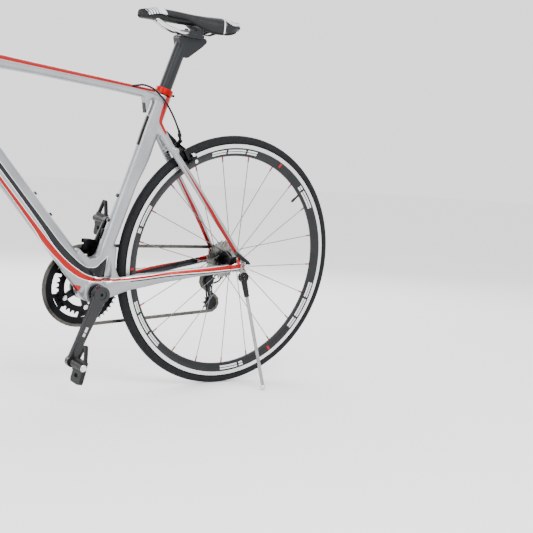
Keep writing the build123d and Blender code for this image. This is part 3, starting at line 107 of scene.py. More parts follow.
# ---- node helper ----
class Paint:
    """One procedural material, whose patterns are drawn on the upright bicycle."""

    def __init__(self, name, roughness=0.4, metallic=0.0, coat=0.0, coat_roughness=0.05,
                 specular=0.5, sheen=0.0):
        self.material = bpy.data.materials.new(name)
        self.material.use_nodes = True
        self.tree = self.material.node_tree
        self.shader = self.tree.nodes["Principled BSDF"]
        self.shader.inputs["Roughness"].default_value = roughness
        self.shader.inputs["Metallic"].default_value = metallic
        self.shader.inputs["Coat Weight"].default_value = coat
        self.shader.inputs["Coat Roughness"].default_value = coat_roughness
        self.shader.inputs["Specular IOR Level"].default_value = specular
        self.shader.inputs["Sheen Weight"].default_value = sheen
        place = self.tree.nodes.new("ShaderNodeTexCoord")
        turn = self.tree.nodes.new("ShaderNodeMapping")
        turn.inputs["Location"].default_value = UPRIGHT.translation
        turn.inputs["Rotation"].default_value = UPRIGHT.to_euler()
        self.tree.links.new(place.outputs["Object"], turn.inputs["Vector"])
        self.here = turn.outputs["Vector"]

    def put(self, socket, value):
        if hasattr(value, "is_linked") or hasattr(value, "links"):
            self.tree.links.new(value, socket)
        elif isinstance(value, tuple) and socket.type == "RGBA":
            socket.default_value = (*value, 1)
        else:
            socket.default_value = value

    def calc(self, operation, a, b=0.0, c=0.0):
        node = self.tree.nodes.new("ShaderNodeMath")
        node.operation = operation
        for socket, value in zip(node.inputs, (a, b, c)):
            self.put(socket, value)
        return node.outputs[0]

    def above(self, a, b):
        return self.calc("GREATER_THAN", a, b)

    def below(self, a, b):
        return self.calc("LESS_THAN", a, b)

    def times(self, a, b):
        return self.calc("MULTIPLY", a, b)

    def minus(self, a, b):
        return self.calc("SUBTRACT", a, b)

    def sine(self, a):
        return self.calc("SINE", a)

    def along(self, direction, origin=(0, 0, 0), vector=None):
        """Distance of the surface point from origin, measured along direction."""
        node = self.tree.nodes.new("ShaderNodeVectorMath")
        node.operation = "DOT_PRODUCT"
        self.tree.links.new(vector or self.here, node.inputs[0])
        node.inputs[1].default_value = direction
        return self.calc("SUBTRACT", node.outputs["Value"], Vector(direction).dot(Vector(origin)))

    def inside(self, value, low, high):
        """1 where value lies between low and high."""
        above = self.calc("GREATER_THAN", value, low)
        below = self.calc("LESS_THAN", value, high)
        return self.calc("MULTIPLY", above, below)

    def both(self, *masks):
        found = masks[0]
        for mask in masks[1:]:
            found = self.calc("MULTIPLY", found, mask)
        return found

    def scaled(self, value, low, high, to_low=0.0, to_high=1.0):
        node = self.tree.nodes.new("ShaderNodeMapRange")
        for socket, given in zip(node.inputs, (value, low, high, to_low, to_high)):
            self.put(socket, given)
        return node.outputs[0]

    def curve(self, value, points, low, high):
        """Height of a smooth line through points of (across, height), read at value."""
        node = self.tree.nodes.new("ShaderNodeFloatCurve")
        line = node.mapping.curves[0]
        first, last = points[0][0], points[-1][0]
        spots = [((x - first) / (last - first), (z - low) / (high - low)) for x, z in points]
        line.points[0].location = spots[0]
        line.points[1].location = spots[-1]
        for spot in spots[1:-1]:
            line.points.new(*spot)
        node.mapping.update()
        self.tree.links.new(self.scaled(value, first, last), node.inputs["Value"])
        return self.scaled(node.outputs[0], 0, 1, low, high)

    def noise(self, scale, detail=3.0, stretch=(1, 1, 1), roughness=0.5):
        turn = self.tree.nodes.new("ShaderNodeMapping")
        turn.inputs["Scale"].default_value = stretch
        self.tree.links.new(self.here, turn.inputs["Vector"])
        node = self.tree.nodes.new("ShaderNodeTexNoise")
        node.inputs["Scale"].default_value = scale
        node.inputs["Detail"].default_value = detail
        node.inputs["Roughness"].default_value = roughness
        self.tree.links.new(turn.outputs[0], node.inputs["Vector"])
        return node.outputs["Fac"]

    def cells(self, scale, feature="F1"):
        node = self.tree.nodes.new("ShaderNodeTexVoronoi")
        node.feature = feature
        node.inputs["Scale"].default_value = scale
        self.tree.links.new(self.here, node.inputs["Vector"])
        return node.outputs["Distance"]

    def mix(self, mask, a, b):
        node = self.tree.nodes.new("ShaderNodeMix")
        node.data_type = "RGBA"
        self.put(node.inputs[0], mask)
        self.put(node.inputs[6], a)
        self.put(node.inputs[7], b)
        return node.outputs[2]

    def colour(self, value):
        self.put(self.shader.inputs["Base Color"], value)

    def rough(self, value, low, high):
        self.put(self.shader.inputs["Roughness"], self.scaled(value, 0.3, 0.7, low, high))

    def bump(self, height, depth, strength=1.0):
        node = self.tree.nodes.new("ShaderNodeBump")
        node.inputs["Distance"].default_value = depth
        node.inputs["Strength"].default_value = strength
        self.put(node.inputs["Height"], height)
        if self.shader.inputs["Normal"].links:
            self.tree.links.new(self.shader.inputs["Normal"].links[0].from_socket, node.inputs["Normal"])
        self.tree.links.new(node.outputs[0], self.shader.inputs["Normal"])

    def radius(self, centre):
        """Distance from a lateral axis through centre."""
        x = self.along((1, 0, 0), centre)
        z = self.along((0, 0, 1), centre)
        return self.calc("SQRT", self.calc("ADD", self.calc("MULTIPLY", x, x), self.calc("MULTIPLY", z, z)))

    def angle(self, centre):
        """Angle about a lateral axis through centre, from -pi to pi."""
        return self.calc("ARCTAN2", self.along((0, 0, 1), centre), self.along((1, 0, 0), centre))


# ---- materials ----
def tinted(colour, factor):
    return tuple(c * factor for c in colour)


def metal(name, colour, roughness=0.3, grain=(1, 1, 1), spread=0.12, coat=0.0):
    """Machined, polished or anodised metal with fine grain and handling marks."""
    paint = Paint(name, roughness=roughness, metallic=1.0, coat=coat)
    fine = paint.noise(900, 4, grain)
    broad = paint.noise(35, 5)
    shade = tinted(colour, 0.72)
    paint.colour(paint.mix(paint.scaled(broad, 0.35, 0.65, 0.0, 1.0), shade, colour))
    paint.rough(broad, roughness - spread / 2, roughness + spread)
    paint.bump(fine, 0.00002)
    return paint.material


def plastic(name, colour, roughness=0.45, grain=1400, depth=0.00004):
    """Moulded plastic with a spark-eroded texture."""
    paint = Paint(name, roughness=roughness, specular=0.22)
    paint.colour(paint.mix(paint.noise(60, 4), tinted(colour, 0.8), tinted(colour, 1.15)))
    paint.rough(paint.noise(90, 4), roughness - 0.08, roughness + 0.1)
    paint.bump(paint.noise(grain, 2), depth)
    return paint.material


def painted_frame():
    """Silver paint under clear coat, with the red stripe, the dark panel and thin lines."""
    paint = Paint("frame_silver", roughness=0.3, metallic=0.6, coat=0.25, coat_roughness=0.04, specular=0.25)
    flake = paint.noise(2600, 1)
    shade = paint.noise(9, 2)
    colour = paint.mix(paint.scaled(shade, 0.3, 0.7), SILVER, SILVER_SHADE)
    colour = paint.mix(paint.scaled(flake, 0.62, 0.75, 0.0, 0.35), colour, WHITE)
    x = paint.along((1, 0, 0))
    z = paint.along((0, 0, 1))
    up = paint.along(SEAT_DIR, BB)
    fore = paint.along(SEAT_FORE, BB)

    def edge(points):
        low = min(h for _, h in points) * MM
        high = max(h for _, h in points) * MM
        return paint.curve(x, [(a * MM, h * MM) for a, h in points], low, high)

    # the down tube's sweep, which turns under the bottom bracket and runs out along the chainstay
    red_top = edge([(0, 342), (110, 326), (200, 315), (284, 302), (344, 296), (388, 295), (421, 303),
                    (454, 320), (486, 344), (523, 380), (553, 413), (760, 650)])
    red_low = edge([(0, 330), (110, 318), (200, 309), (284, 297), (344, 291), (388, 290), (432, 295),
                    (469, 314), (503, 344), (538, 380), (564, 413), (772, 650)])
    dark_top = edge([(370, 352), (388, 334), (400, 322), (417, 321), (441, 331), (465, 349), (499, 380),
                     (529, 413), (738, 650)])
    dark_low = edge([(370, 298), (389, 298), (418, 304), (448, 317), (478, 339), (515, 375), (545, 413),
                     (753, 650)])
    low_area = paint.below(up, 0.20)
    ahead = paint.above(x, 0.39)
    sweep = paint.calc("MAXIMUM", low_area, ahead)
    not_top_tube = paint.below(z, 0.68)
    red = paint.both(paint.below(z, red_top), paint.above(z, red_low), sweep,
                     not_top_tube)
    dark = paint.both(paint.below(z, dark_top), paint.above(z, dark_low),
                      paint.above(x, 0.373), not_top_tube)
    rim = 0.0018
    line = paint.both(paint.below(z, paint.calc("ADD", red_top, rim)),
                      paint.above(z, paint.minus(red_low, rim)), sweep, not_top_tube)
    pin = paint.both(paint.below(z, paint.calc("ADD", dark_top, rim)),
                     paint.above(z, paint.minus(dark_low, rim)),
                     paint.above(x, 0.371), not_top_tube)
    colour = paint.mix(pin, colour, WHITE)
    colour = paint.mix(dark, colour, PANEL)
    colour = paint.mix(line, colour, WHITE)
    colour = paint.mix(red, colour, RED)

    # red line along the top tube
    level = (on_head(494) - mm(250, 0, 747)).normalized()
    above = paint.along(Vector((-level.z, 0, level.x)), mm(250, 0, 747))
    top_tube = paint.both(paint.above(fore, 0.03), paint.above(z, 0.70))
    stripe = paint.both(paint.inside(above, 0.0055, 0.0150), top_tube)
    colour = paint.mix(stripe, colour, RED)

    # back of the seat tube: red wedge at the top, dark band with red dashes behind the wheel
    wedge_edge = paint.curve(up, [(0.40, -0.075), (0.413, -0.05), (0.426, -0.026), (0.436, -0.014),
                                  (0.444, -0.006), (0.456, -0.003), (0.53, -0.002)], -0.08, 0.0)
    wedge = paint.both(paint.below(fore, wedge_edge), paint.above(up, 0.412),
                       paint.above(fore, -0.036))
    colour = paint.mix(wedge, colour, RED)
    near = paint.inside(paint.along((0, 1, 0)), -0.009, 0.009)
    band = paint.both(paint.inside(up, 0.10, 0.31), paint.inside(fore, -0.05, -0.0125), near)
    dash = paint.both(band, paint.inside(up, 0.15, 0.30),
                      paint.above(paint.sine(paint.times(up, 700)), -0.3))
    colour = paint.mix(band, colour, BLACK)
    colour = paint.mix(dash, colour, RED)
    front_edge = paint.curve(up, [(0.36, 0.0135), (0.40, 0.0135), (0.435, 0.0138), (0.448, 0.021),
                                  (0.475, 0.037)], 0.0, 0.04)
    front_line = paint.both(paint.inside(up, 0.372, 0.472), paint.above(fore, front_edge),
                            paint.below(fore, 0.046), near)
    colour = paint.mix(front_line, colour, BLACK)

    # dark red line down the outer face of each seatstay
    stay = Vector((-0.6, 0, -0.8)).normalized()
    off_stay = paint.along(Vector((0.8, 0, -0.6)), mm(163, 0, 553))
    down_stay = paint.along(stay, mm(163, 0, 553))
    stay_top = paint.scaled(down_stay, -0.04, 0.10, 0.0035, -0.003)
    stay_line = paint.both(paint.above(off_stay, stay_top), paint.below(off_stay, 0.005),
                           paint.inside(down_stay, -0.04, 0.245), paint.below(fore, -0.06))
    colour = paint.mix(stay_line, colour, DARK_RED)
    corner = paint.both(paint.inside(x, 0.012, 0.020), paint.inside(z, 0.330, 0.366))
    colour = paint.mix(corner, colour, RED)
    under = paint.both(paint.inside(paint.minus(red_low, z), 0.0025, 0.0052), low_area,
                       paint.below(x, 0.31))
    colour = paint.mix(under, colour, BLACK)
    flank = paint.minus(z, paint.scaled(x, 0.05, 0.34, 0.3266, 0.2808))
    right_panel = paint.both(paint.inside(flank, -0.008, 0.008), paint.inside(x, 0.06, 0.33),
                             paint.below(paint.along((0, 1, 0)), -0.018))
    colour = paint.mix(right_panel, colour, PANEL)
    mark = paint.both(paint.inside(x, 0.437, 0.47), paint.inside(z, 0.20, 0.279),
                      paint.below(paint.along((0.754, 0, -0.657), BB), 0.05),
                      paint.above(paint.along((0.754, 0, -0.657), BB), 0.019))
    colour = paint.mix(mark, colour, RED)
    paint.colour(colour)
    paint.bump(paint.noise(140, 2), 0.00002)
    return paint.material


def carbon(name, colour=CHARCOAL):
    """Black carbon under satin lacquer, with a faint two-by-two twill."""
    paint = Paint(name, roughness=0.34, coat=0.12, coat_roughness=0.1, specular=0.2)
    tow = 700
    up = paint.along(SEAT_DIR, BB)
    round_it = paint.along((0.55, 0.8, 0.2))
    a = paint.sine(paint.times(paint.calc("ADD", up, round_it), tow))
    b = paint.sine(paint.times(paint.minus(up, round_it), tow))
    twill = paint.scaled(paint.times(a, b), -1, 1)
    paint.colour(paint.mix(paint.scaled(twill, 0.2, 0.8, 0.0, 0.5), colour, tinted(colour, 1.7)))
    paint.rough(twill, 0.3, 0.45)
    paint.bump(paint.noise(500, 2), 0.00002)
    return paint.material


def tyre_rubber(name, centre):
    """Smooth centre, fine slanting sipes on the shoulders with painted shade in them, and a ribbed dull
    sidewall.
    """
    paint = Paint(name, roughness=0.7, specular=0.15)
    r = paint.radius(centre)
    turn = paint.angle(centre)
    y = paint.along((0, 1, 0))
    width = paint.calc("ABSOLUTE", y)
    shoulder = paint.inside(width, 0.0035, 0.0085)
    outer = paint.above(r, WHEEL_R - TYRE_R)
    slant = paint.calc("ADD", paint.times(turn, 260), paint.times(width, 900))
    sipe = paint.both(paint.above(paint.sine(slant), 0.86), shoulder, outer)
    ribs = paint.sine(paint.times(r, 5200))
    inner = paint.below(r, WHEEL_R - TYRE_R)
    colour = paint.mix(paint.noise(45, 4), (0.004, 0.005, 0.006), (0.011, 0.012, 0.014))
    colour = paint.mix(inner, colour, (0.007, 0.008, 0.009))
    # the sipes get a darker colour than the rubber round them: painted shade in the grooves
    paint.colour(paint.mix(sipe, colour, (0.002, 0.002, 0.002)))
    paint.rough(paint.noise(120, 3), 0.6, 0.85)
    paint.bump(paint.times(paint.both(ribs, inner), 0.35), 0.00008)
    paint.bump(paint.minus(1.0, sipe), 0.0005)
    paint.bump(paint.noise(1800, 2), 0.00005)
    return paint.material


def brake_track(centre):
    """Machined alloy with the lathe's fine rings, and a black outer band that stands for the tyre's bead and
    for painted shade under the tyre's edge.
    """
    paint = Paint("machined_track", roughness=0.28, metallic=1.0)
    ring = paint.sine(paint.times(paint.radius(centre), 16000))
    # black outer band beyond 312.8 mm: the tyre's bead, partly painted shade where the tyre's edge overhangs
    # the rim
    edge = paint.above(paint.radius(centre), 0.3128)
    alloy = paint.mix(paint.noise(50, 3), (0.66, 0.67, 0.68), (0.80, 0.81, 0.82))
    paint.colour(paint.mix(edge, alloy, (0.012, 0.012, 0.013)))
    paint.rough(paint.noise(80, 3), 0.2, 0.38)
    paint.bump(paint.scaled(ring, -1, 1), 0.00004)
    return paint.material


def rim_body(name, centre):
    """Black rim wall with plain white bars and one small red tick, which stand for its graphics."""
    paint = Paint(name, roughness=0.3, coat=0.1, coat_roughness=0.1, specular=0.18)
    r = paint.radius(centre)
    turn = paint.angle(centre)
    third = paint.calc("FRACT", paint.times(paint.calc("ADD", turn, math.pi), 3 / math.tau))
    wall = paint.inside(r, 0.2885, 0.2985)
    blocks = None
    for start, stop in ((0.10, 0.17), (0.18, 0.27), (0.28, 0.33), (0.62, 0.64), (0.65, 0.74)):
        block = paint.inside(third, start, stop)
        blocks = block if blocks is None else paint.calc("MAXIMUM", blocks, block)
    slot = paint.below(paint.calc("ABSOLUTE", paint.minus(r, 0.2935)), 0.0011)
    bars = paint.both(wall, blocks, paint.minus(1.0, slot))
    tick = paint.both(paint.inside(third, 0.465, 0.475), paint.inside(r, 0.289, 0.300))
    colour = paint.mix(paint.noise(70, 4), (0.005, 0.006, 0.007), (0.014, 0.015, 0.017))
    colour = paint.mix(bars, colour, (0.62, 0.63, 0.64))
    paint.colour(paint.mix(tick, colour, RED))
    paint.rough(paint.noise(150, 3), 0.28, 0.42)
    paint.bump(paint.noise(900, 2), 0.00003)
    return paint.material


def leather(name, colour, grain=900):
    """Microfibre saddle cover: pebble grain with a soft sheen."""
    paint = Paint(name, roughness=0.55, specular=0.2, sheen=0.02)
    pebble = paint.cells(grain)
    paint.colour(paint.mix(paint.noise(40, 4), tinted(colour, 0.75), tinted(colour, 1.3)))
    paint.rough(paint.noise(140, 3), 0.45, 0.65)
    paint.bump(pebble, 0.00012, 0.7)
    return paint.material


def tape_material():
    """Cork-and-polymer bar tape with rows of small punched holes, painted near-black inside as painted shade.
    """
    paint = Paint("bar_tape_cork", roughness=0.78, specular=0.15)
    holes = paint.scaled(paint.cells(420), 0.12, 0.28)
    colour = paint.mix(paint.noise(700, 3), (0.006, 0.006, 0.007), (0.018, 0.018, 0.02))
    # the punched holes are painted near-black, darker than the tape: painted shade inside the holes
    paint.colour(paint.mix(holes, (0.002, 0.002, 0.002), colour))
    paint.bump(holes, 0.0003)
    paint.bump(paint.noise(1500, 3), 0.0001)
    return paint.material


def ribbed_rubber(name):
    """Hood rubber with a grid of small raised ribs where the hand rests."""
    paint = Paint(name, roughness=0.72, specular=0.15)
    x = paint.along((1, 0, 0))
    y = paint.along((0, 1, 0))
    ribs = paint.calc("MAXIMUM", paint.sine(paint.times(x, 1900)),
                      paint.sine(paint.times(y, 1900)))
    paint.colour(paint.mix(paint.noise(80, 4), (0.006, 0.006, 0.006), (0.014, 0.014, 0.015)))
    paint.rough(paint.noise(60, 3), 0.62, 0.82)
    paint.bump(paint.scaled(ribs, 0.2, 0.9), 0.0002, 0.7)
    return paint.material


def knurled(name, colour):
    """Steel plate with a pressed diamond knurl."""
    paint = Paint(name, roughness=0.35, metallic=1.0)
    a = paint.along((0.707, 0, 0.707))
    b = paint.along((0.707, 0, -0.707))
    diamond = paint.times(paint.sine(paint.times(a, 3800)),
                         paint.sine(paint.times(b, 3800)))
    paint.colour(paint.mix(paint.noise(90, 4), tinted(colour, 0.7), colour))
    paint.rough(paint.noise(120, 3), 0.28, 0.45)
    paint.bump(paint.scaled(diamond, -1, 1), 0.0004)
    return paint.material


def crank_material():
    """Polished black arm with a small pale bar as a generic mark."""
    paint = Paint("crank_black", roughness=0.22, coat=0.12, specular=0.25)
    arm = Vector((math.cos(math.radians(-67)), 0, math.sin(math.radians(-67))))
    t = paint.along(arm, BB)
    off = paint.calc("ABSOLUTE", paint.along(Vector((-arm.z, 0, arm.x)), BB))
    gap = paint.above(paint.calc("ABSOLUTE", paint.minus(t, 0.0985)), 0.0015)
    mark = paint.both(paint.inside(t, 0.084, 0.108), paint.below(off, 0.0032), gap)
    base = paint.mix(paint.noise(60, 4), (0.008, 0.008, 0.009), (0.016, 0.017, 0.018))
    paint.colour(paint.mix(mark, base, (0.5, 0.5, 0.51)))
    paint.rough(paint.noise(90, 4), 0.18, 0.3)
    paint.bump(paint.noise(900, 3), 0.00001)
    return paint.material


MAT = {
    "paint": painted_frame(),
    "crank": crank_material(),
    "carbon": carbon("carbon_satin"),
    "fork": metal("fork_silver", SILVER, 0.3, coat=0.8),
    "black": metal("anodised_black", (0.012, 0.0125, 0.014), 0.34),
    "black_gloss": metal("anodised_black_polished", (0.010, 0.0105, 0.011), 0.2, coat=0.2),
    "graphite": metal("forged_graphite", (0.015, 0.016, 0.017), 0.3, coat=0.1),
    "alloy": metal("brushed_alloy", ALLOY, 0.27, (1, 8, 1)),
    "polished": metal("polished_alloy", (0.78, 0.78, 0.79), 0.14),
    "steel": metal("oiled_steel", STEEL, 0.33),
    "chain": metal("chain_plates", (0.10, 0.095, 0.085), 0.32),
    "sprocket": metal("sprocket_nickel", (0.27, 0.26, 0.24), 0.3, (12, 1, 12)),
    "spoke": metal("spoke_steel", (0.14, 0.145, 0.15), 0.25),
    "red": metal("anodised_red", (0.38, 0.001, 0.001), 0.28),
    "red_paint": metal("red_collar_paint", (0.38, 0.001, 0.001), 0.35, coat=0.15),
    "plastic": plastic("moulded_black", (0.006, 0.0065, 0.007)),
    "gloss_plastic": plastic("moulded_gloss_black", (0.005, 0.005, 0.006), 0.16, 2400, 0.00001),
    "housing": plastic("cable_housing", (0.004, 0.004, 0.005), 0.35, 2600, 0.00002),
    "rubber": plastic("moulded_rubber", (0.006, 0.006, 0.006), 0.75, 800, 0.00008),
    "hood": ribbed_rubber("hood_rubber"),
    "tape": tape_material(),
    "leather_silver": leather("saddle_silver", (0.55, 0.56, 0.58), 1300),
    "knurl": knurled("knurled_steel", (0.50, 0.50, 0.49)),
    "rear_tyre": tyre_rubber("rear_tyre_rubber", REAR),
    "front_tyre": tyre_rubber("front_tyre_rubber", FRONT),
    "rear_rim": rim_body("rear_rim_black", REAR),
    "front_rim": rim_body("front_rim_black", FRONT),
    "rear_track": brake_track(REAR),
    "front_track": brake_track(FRONT),
}


def finish_node(name, *materials, choose=None):
    """Give a CAD node its materials; choose picks one from each face's centre, upright."""
    mesh = nodes[name].data
    mesh.materials.clear()
    for material in materials:
        mesh.materials.append(MAT[material])
    for face in mesh.polygons:
        face.material_index = choose(UPRIGHT @ face.center) if choose else 0


def ring_choice(p):
    """Black rings with bright steel teeth and bright bolts."""
    if math.hypot(p.x - BB.x, p.z - BB.z) > 97 * MM:
        return 1
    for k in range(5):
        a = math.radians(113 + 72 * k)
        if math.hypot(p.x - BB.x - 55 * MM * math.cos(a), p.z - BB.z - 55 * MM * math.sin(a)) < 5.4 * MM:
            return 2
    return 0


def rim_choice(centre):
    def choose(p):
        r = math.hypot(p.x - centre.x, p.z - centre.z)
        if r < RIM_NOSE_R - 0.5 * MM:
            return 2
        return int(r > TRACK_R - 0.2 * MM)
    return choose


def hub_choice(centre):
    def choose(p):
        r = math.hypot(p.x - centre.x, p.z - centre.z)
        if r > 274 * MM:
            return 2
        return int(r > 25 * MM)
    return choose


def stand_choice(p):
    """Moulded housing, silver tube and bright ball foot of the kickstand."""
    leg = (STAND_FOOT - STAND_PIVOT).normalized()
    away = p - STAND_PIVOT
    t = away.dot(leg)
    off = (away - leg * t).length
    if (p - STAND_FOOT).length < 8.2 * MM:
        return 2
    return int(t > 21 * MM and off < 4.9 * MM)


PLAIN_FINISHES = {
    "bearing_cups": "black", "seat_collar": "red_paint", "frame_bolts": "black_gloss", "fd_clamp": "black",
    "rear_brake_base": "black", "front_brake_base": "black", "kickstand_plate": "knurl",
    "saddle_rails": "polished", "saddle_shell": "plastic", "seatpost": "carbon", "stem": "black",
    "handlebar": "black", "lever_hoods": "hood", "rear_axle": "polished", "front_axle": "polished",
    "rear_tyre": "rear_tyre", "front_tyre": "front_tyre", "fork": "fork", "chain": "chain",
    "crank_arm_left": "crank", "pedal_left": "plastic", "pedal_right": "plastic",
    "rd_base": "black", "rd_link_inner": "black", "rd_link_outer": "graphite", "rd_knuckle": "black",
    "rd_cage": "graphite", "rd_guide_pulley": "plastic", "rd_tension_pulley": "plastic",
    "fd_link_inner": "black", "fd_link_outer": "black", "fd_cage": "graphite",
    "brake_lever_left": "black_gloss", "brake_lever_right": "black_gloss",
    "shift_paddle_left": "plastic", "shift_paddle_right": "plastic",
    "rear_brake_arm_left": "graphite", "rear_brake_arm_right": "graphite",
    "front_brake_arm_left": "graphite", "front_brake_arm_right": "graphite",
    "rear_qr_lever": "black_gloss", "front_qr_lever": "black_gloss", "crank_arm_right": "graphite",
    "rear_dropouts": "paint",
}
for node_name, material_name in PLAIN_FINISHES.items():
    finish_node(node_name, material_name)
finish_node("cassette", "sprocket")
finish_node("chainrings", "black", "steel", "polished", choose=ring_choice)
for end, hub in (("rear", REAR), ("front", FRONT)):
    finish_node(end + "_rim", end + "_rim", end + "_track", "plastic", choose=rim_choice(hub))
    finish_node(end + "_hub", "black", "spoke", "red", choose=hub_choice(hub))
finish_node("kickstand_leg", "gloss_plastic", "alloy", "polished", choose=stand_choice)


# ---- mesh helpers ----
def mesh_piece(name, body, build, material, smooth=60):
    """Make an object from a bmesh drawn on the upright bicycle, lean it and hang it on a body."""
    mesh = bpy.data.meshes.new(name)
    shape = bmesh.new()
    build(shape)
    bmesh.ops.recalc_face_normals(shape, faces=shape.faces)
    shape.to_mesh(mesh)
    shape.free()
    mesh.transform(LEANED)
    piece = bpy.data.objects.new(name, mesh)
    bpy.context.scene.collection.objects.link(piece)
    mesh.materials.append(MAT[material])
    soften(piece, smooth)
    if body:
        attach(piece, body)
    return piece


def soften(piece, degrees):
    """Shade smooth across edges flatter than the angle."""
    for face in piece.data.polygons:
        face.use_smooth = True
    piece.data.set_sharp_from_angle(angle=math.radians(degrees))


def bake_modifiers(piece):
    """Replace the mesh with what its modifiers make of it."""
    evaluated = piece.evaluated_get(bpy.context.evaluated_depsgraph_get())
    made = bpy.data.meshes.new_from_object(evaluated)
    piece.modifiers.clear()
    piece.data = made


def ellipse(centre, along, half_side, half_high, count=32):
    """Points round an ellipse across a direction; half_side lies as near Y as it can."""
    along = Vector(along).normalized()
    side = (Y_DIR - along * along.y).normalized()
    high = along.cross(side)
    points = []
    for k in range(count):
        a = math.tau * k / count
        points.append(Vector(centre) + side * half_side * math.cos(a) + high * half_high * math.sin(a))
    return points


def skin(shape, rings):
    """Join rings of equal length into a closed solid."""
    loops = [[shape.verts.new(p) for p in ring] for ring in rings]
    count = len(loops[0])
    for a, b in zip(loops, loops[1:]):
        for k in range(count):
            shape.faces.new((a[k], a[(k + 1) % count], b[(k + 1) % count], b[k]))
    shape.faces.new(loops[0][::-1])
    shape.faces.new(loops[-1])


def loft(shape, stations, steps=8):
    """A tube through (centre, direction, half width, half height), eased between stations."""
    rings = []
    for (c0, d0, w0, h0), (c1, d1, w1, h1) in zip(stations, stations[1:]):
        c0, c1 = Vector(c0), Vector(c1)
        d0, d1 = Vector(d0).normalized(), Vector(d1).normalized()
        span = (c1 - c0).length
        for k in range(steps):
            t = k / steps
            ease = t * t * (3 - 2 * t)
            place = hermite(c0, c1, d0 * span, d1 * span, t)
            rings.append(ellipse(place, d0.lerp(d1, ease), w0 + (w1 - w0) * ease, h0 + (h1 - h0) * ease))
    last = stations[-1]
    rings.append(ellipse(last[0], last[1], last[2], last[3]))
    skin(shape, rings)


def hermite(a, b, da, db, t):
    t2, t3 = t * t, t * t * t
    return a * (2 * t3 - 3 * t2 + 1) + da * (t3 - 2 * t2 + t) + b * (3 * t2 - 2 * t3) + db * (t3 - t2)


def smooth_path(points, steps):
    """Points along a smooth line through the given ones."""
    made = []
    for k in range(len(points) - 1):
        before, after = points[max(k - 1, 0)], points[min(k + 2, len(points) - 1)]
        a, b = points[k], points[k + 1]
        made += [hermite(a, b, (b - before) / 2, (after - a) / 2, j / steps) for j in range(steps)]
    return made + [points[-1]]


def disc(shape, centre, axis, stations, count=24):
    """A turned button or barrel; stations are (along, radius) in millimetres."""
    centre, axis = Vector(centre), Vector(axis)
    skin(shape, [ellipse(centre + axis * t * MM, axis, r * MM, r * MM, count) for t, r in stations])


def prism(shape, outline, y0, y1):
    """A side-view outline in millimetres, given thickness between two Y planes."""
    near = [mm(x, y0, z) for x, z in outline]
    far = [mm(x, y1, z) for x, z in outline]
    skin(shape, [near, far])


def rounded_path(points, radii, step=3 * MM):
    """Points along straight runs whose corners are rounded by arcs of the given radii."""
    made = [Vector(points[0])]
    for a, b, c, radius in zip(points, points[1:], points[2:], radii):
        a, b, c = Vector(a), Vector(b), Vector(c)
        u, v = (a - b).normalized(), (c - b).normalized()
        half = u.angle(v) / 2
        reach = radius / math.tan(half)
        start = b + u * reach
        centre = b + (u + v).normalized() * (radius / math.sin(half))
        sweep = math.pi - 2 * half
        count = max(3, int(radius * sweep / step))
        axis = (start - centre).cross(b + v * reach - centre).normalized()
        run_to(made, start, step)
        for k in range(1, count + 1):
            made.append(centre + Matrix.Rotation(sweep * k / count, 3, axis) @ (start - centre))
    run_to(made, Vector(points[-1]), step)
    return made


def run_to(made, end, step):
    start = made[-1]
    count = max(1, int((end - start).length / step))
    for k in range(1, count + 1):
        made.append(start.lerp(end, k / count))


def sweep_round(shape, path, radius, count=16):
    """A round tube along a path; radius may be a function of (distance, angle)."""
    rings = []
    direction = (path[1] - path[0]).normalized()
    side = direction.orthogonal().normalized()
    travelled = 0.0
    for k, place in enumerate(path):
        ahead = path[min(k + 1, len(path) - 1)] - path[max(k - 1, 0)]
        turn = direction.rotation_difference(ahead.normalized())
        direction = ahead.normalized()
        side = (turn @ side).normalized()
        other = direction.cross(side)
        if k:
            travelled += (place - path[k - 1]).length
        ring = []
        for j in range(count):
            a = math.tau * j / count
            r = radius(travelled, a) if callable(radius) else radius
            ring.append(place + (side * math.cos(a) + other * math.sin(a)) * r)
        rings.append(ring)
    skin(shape, rings)


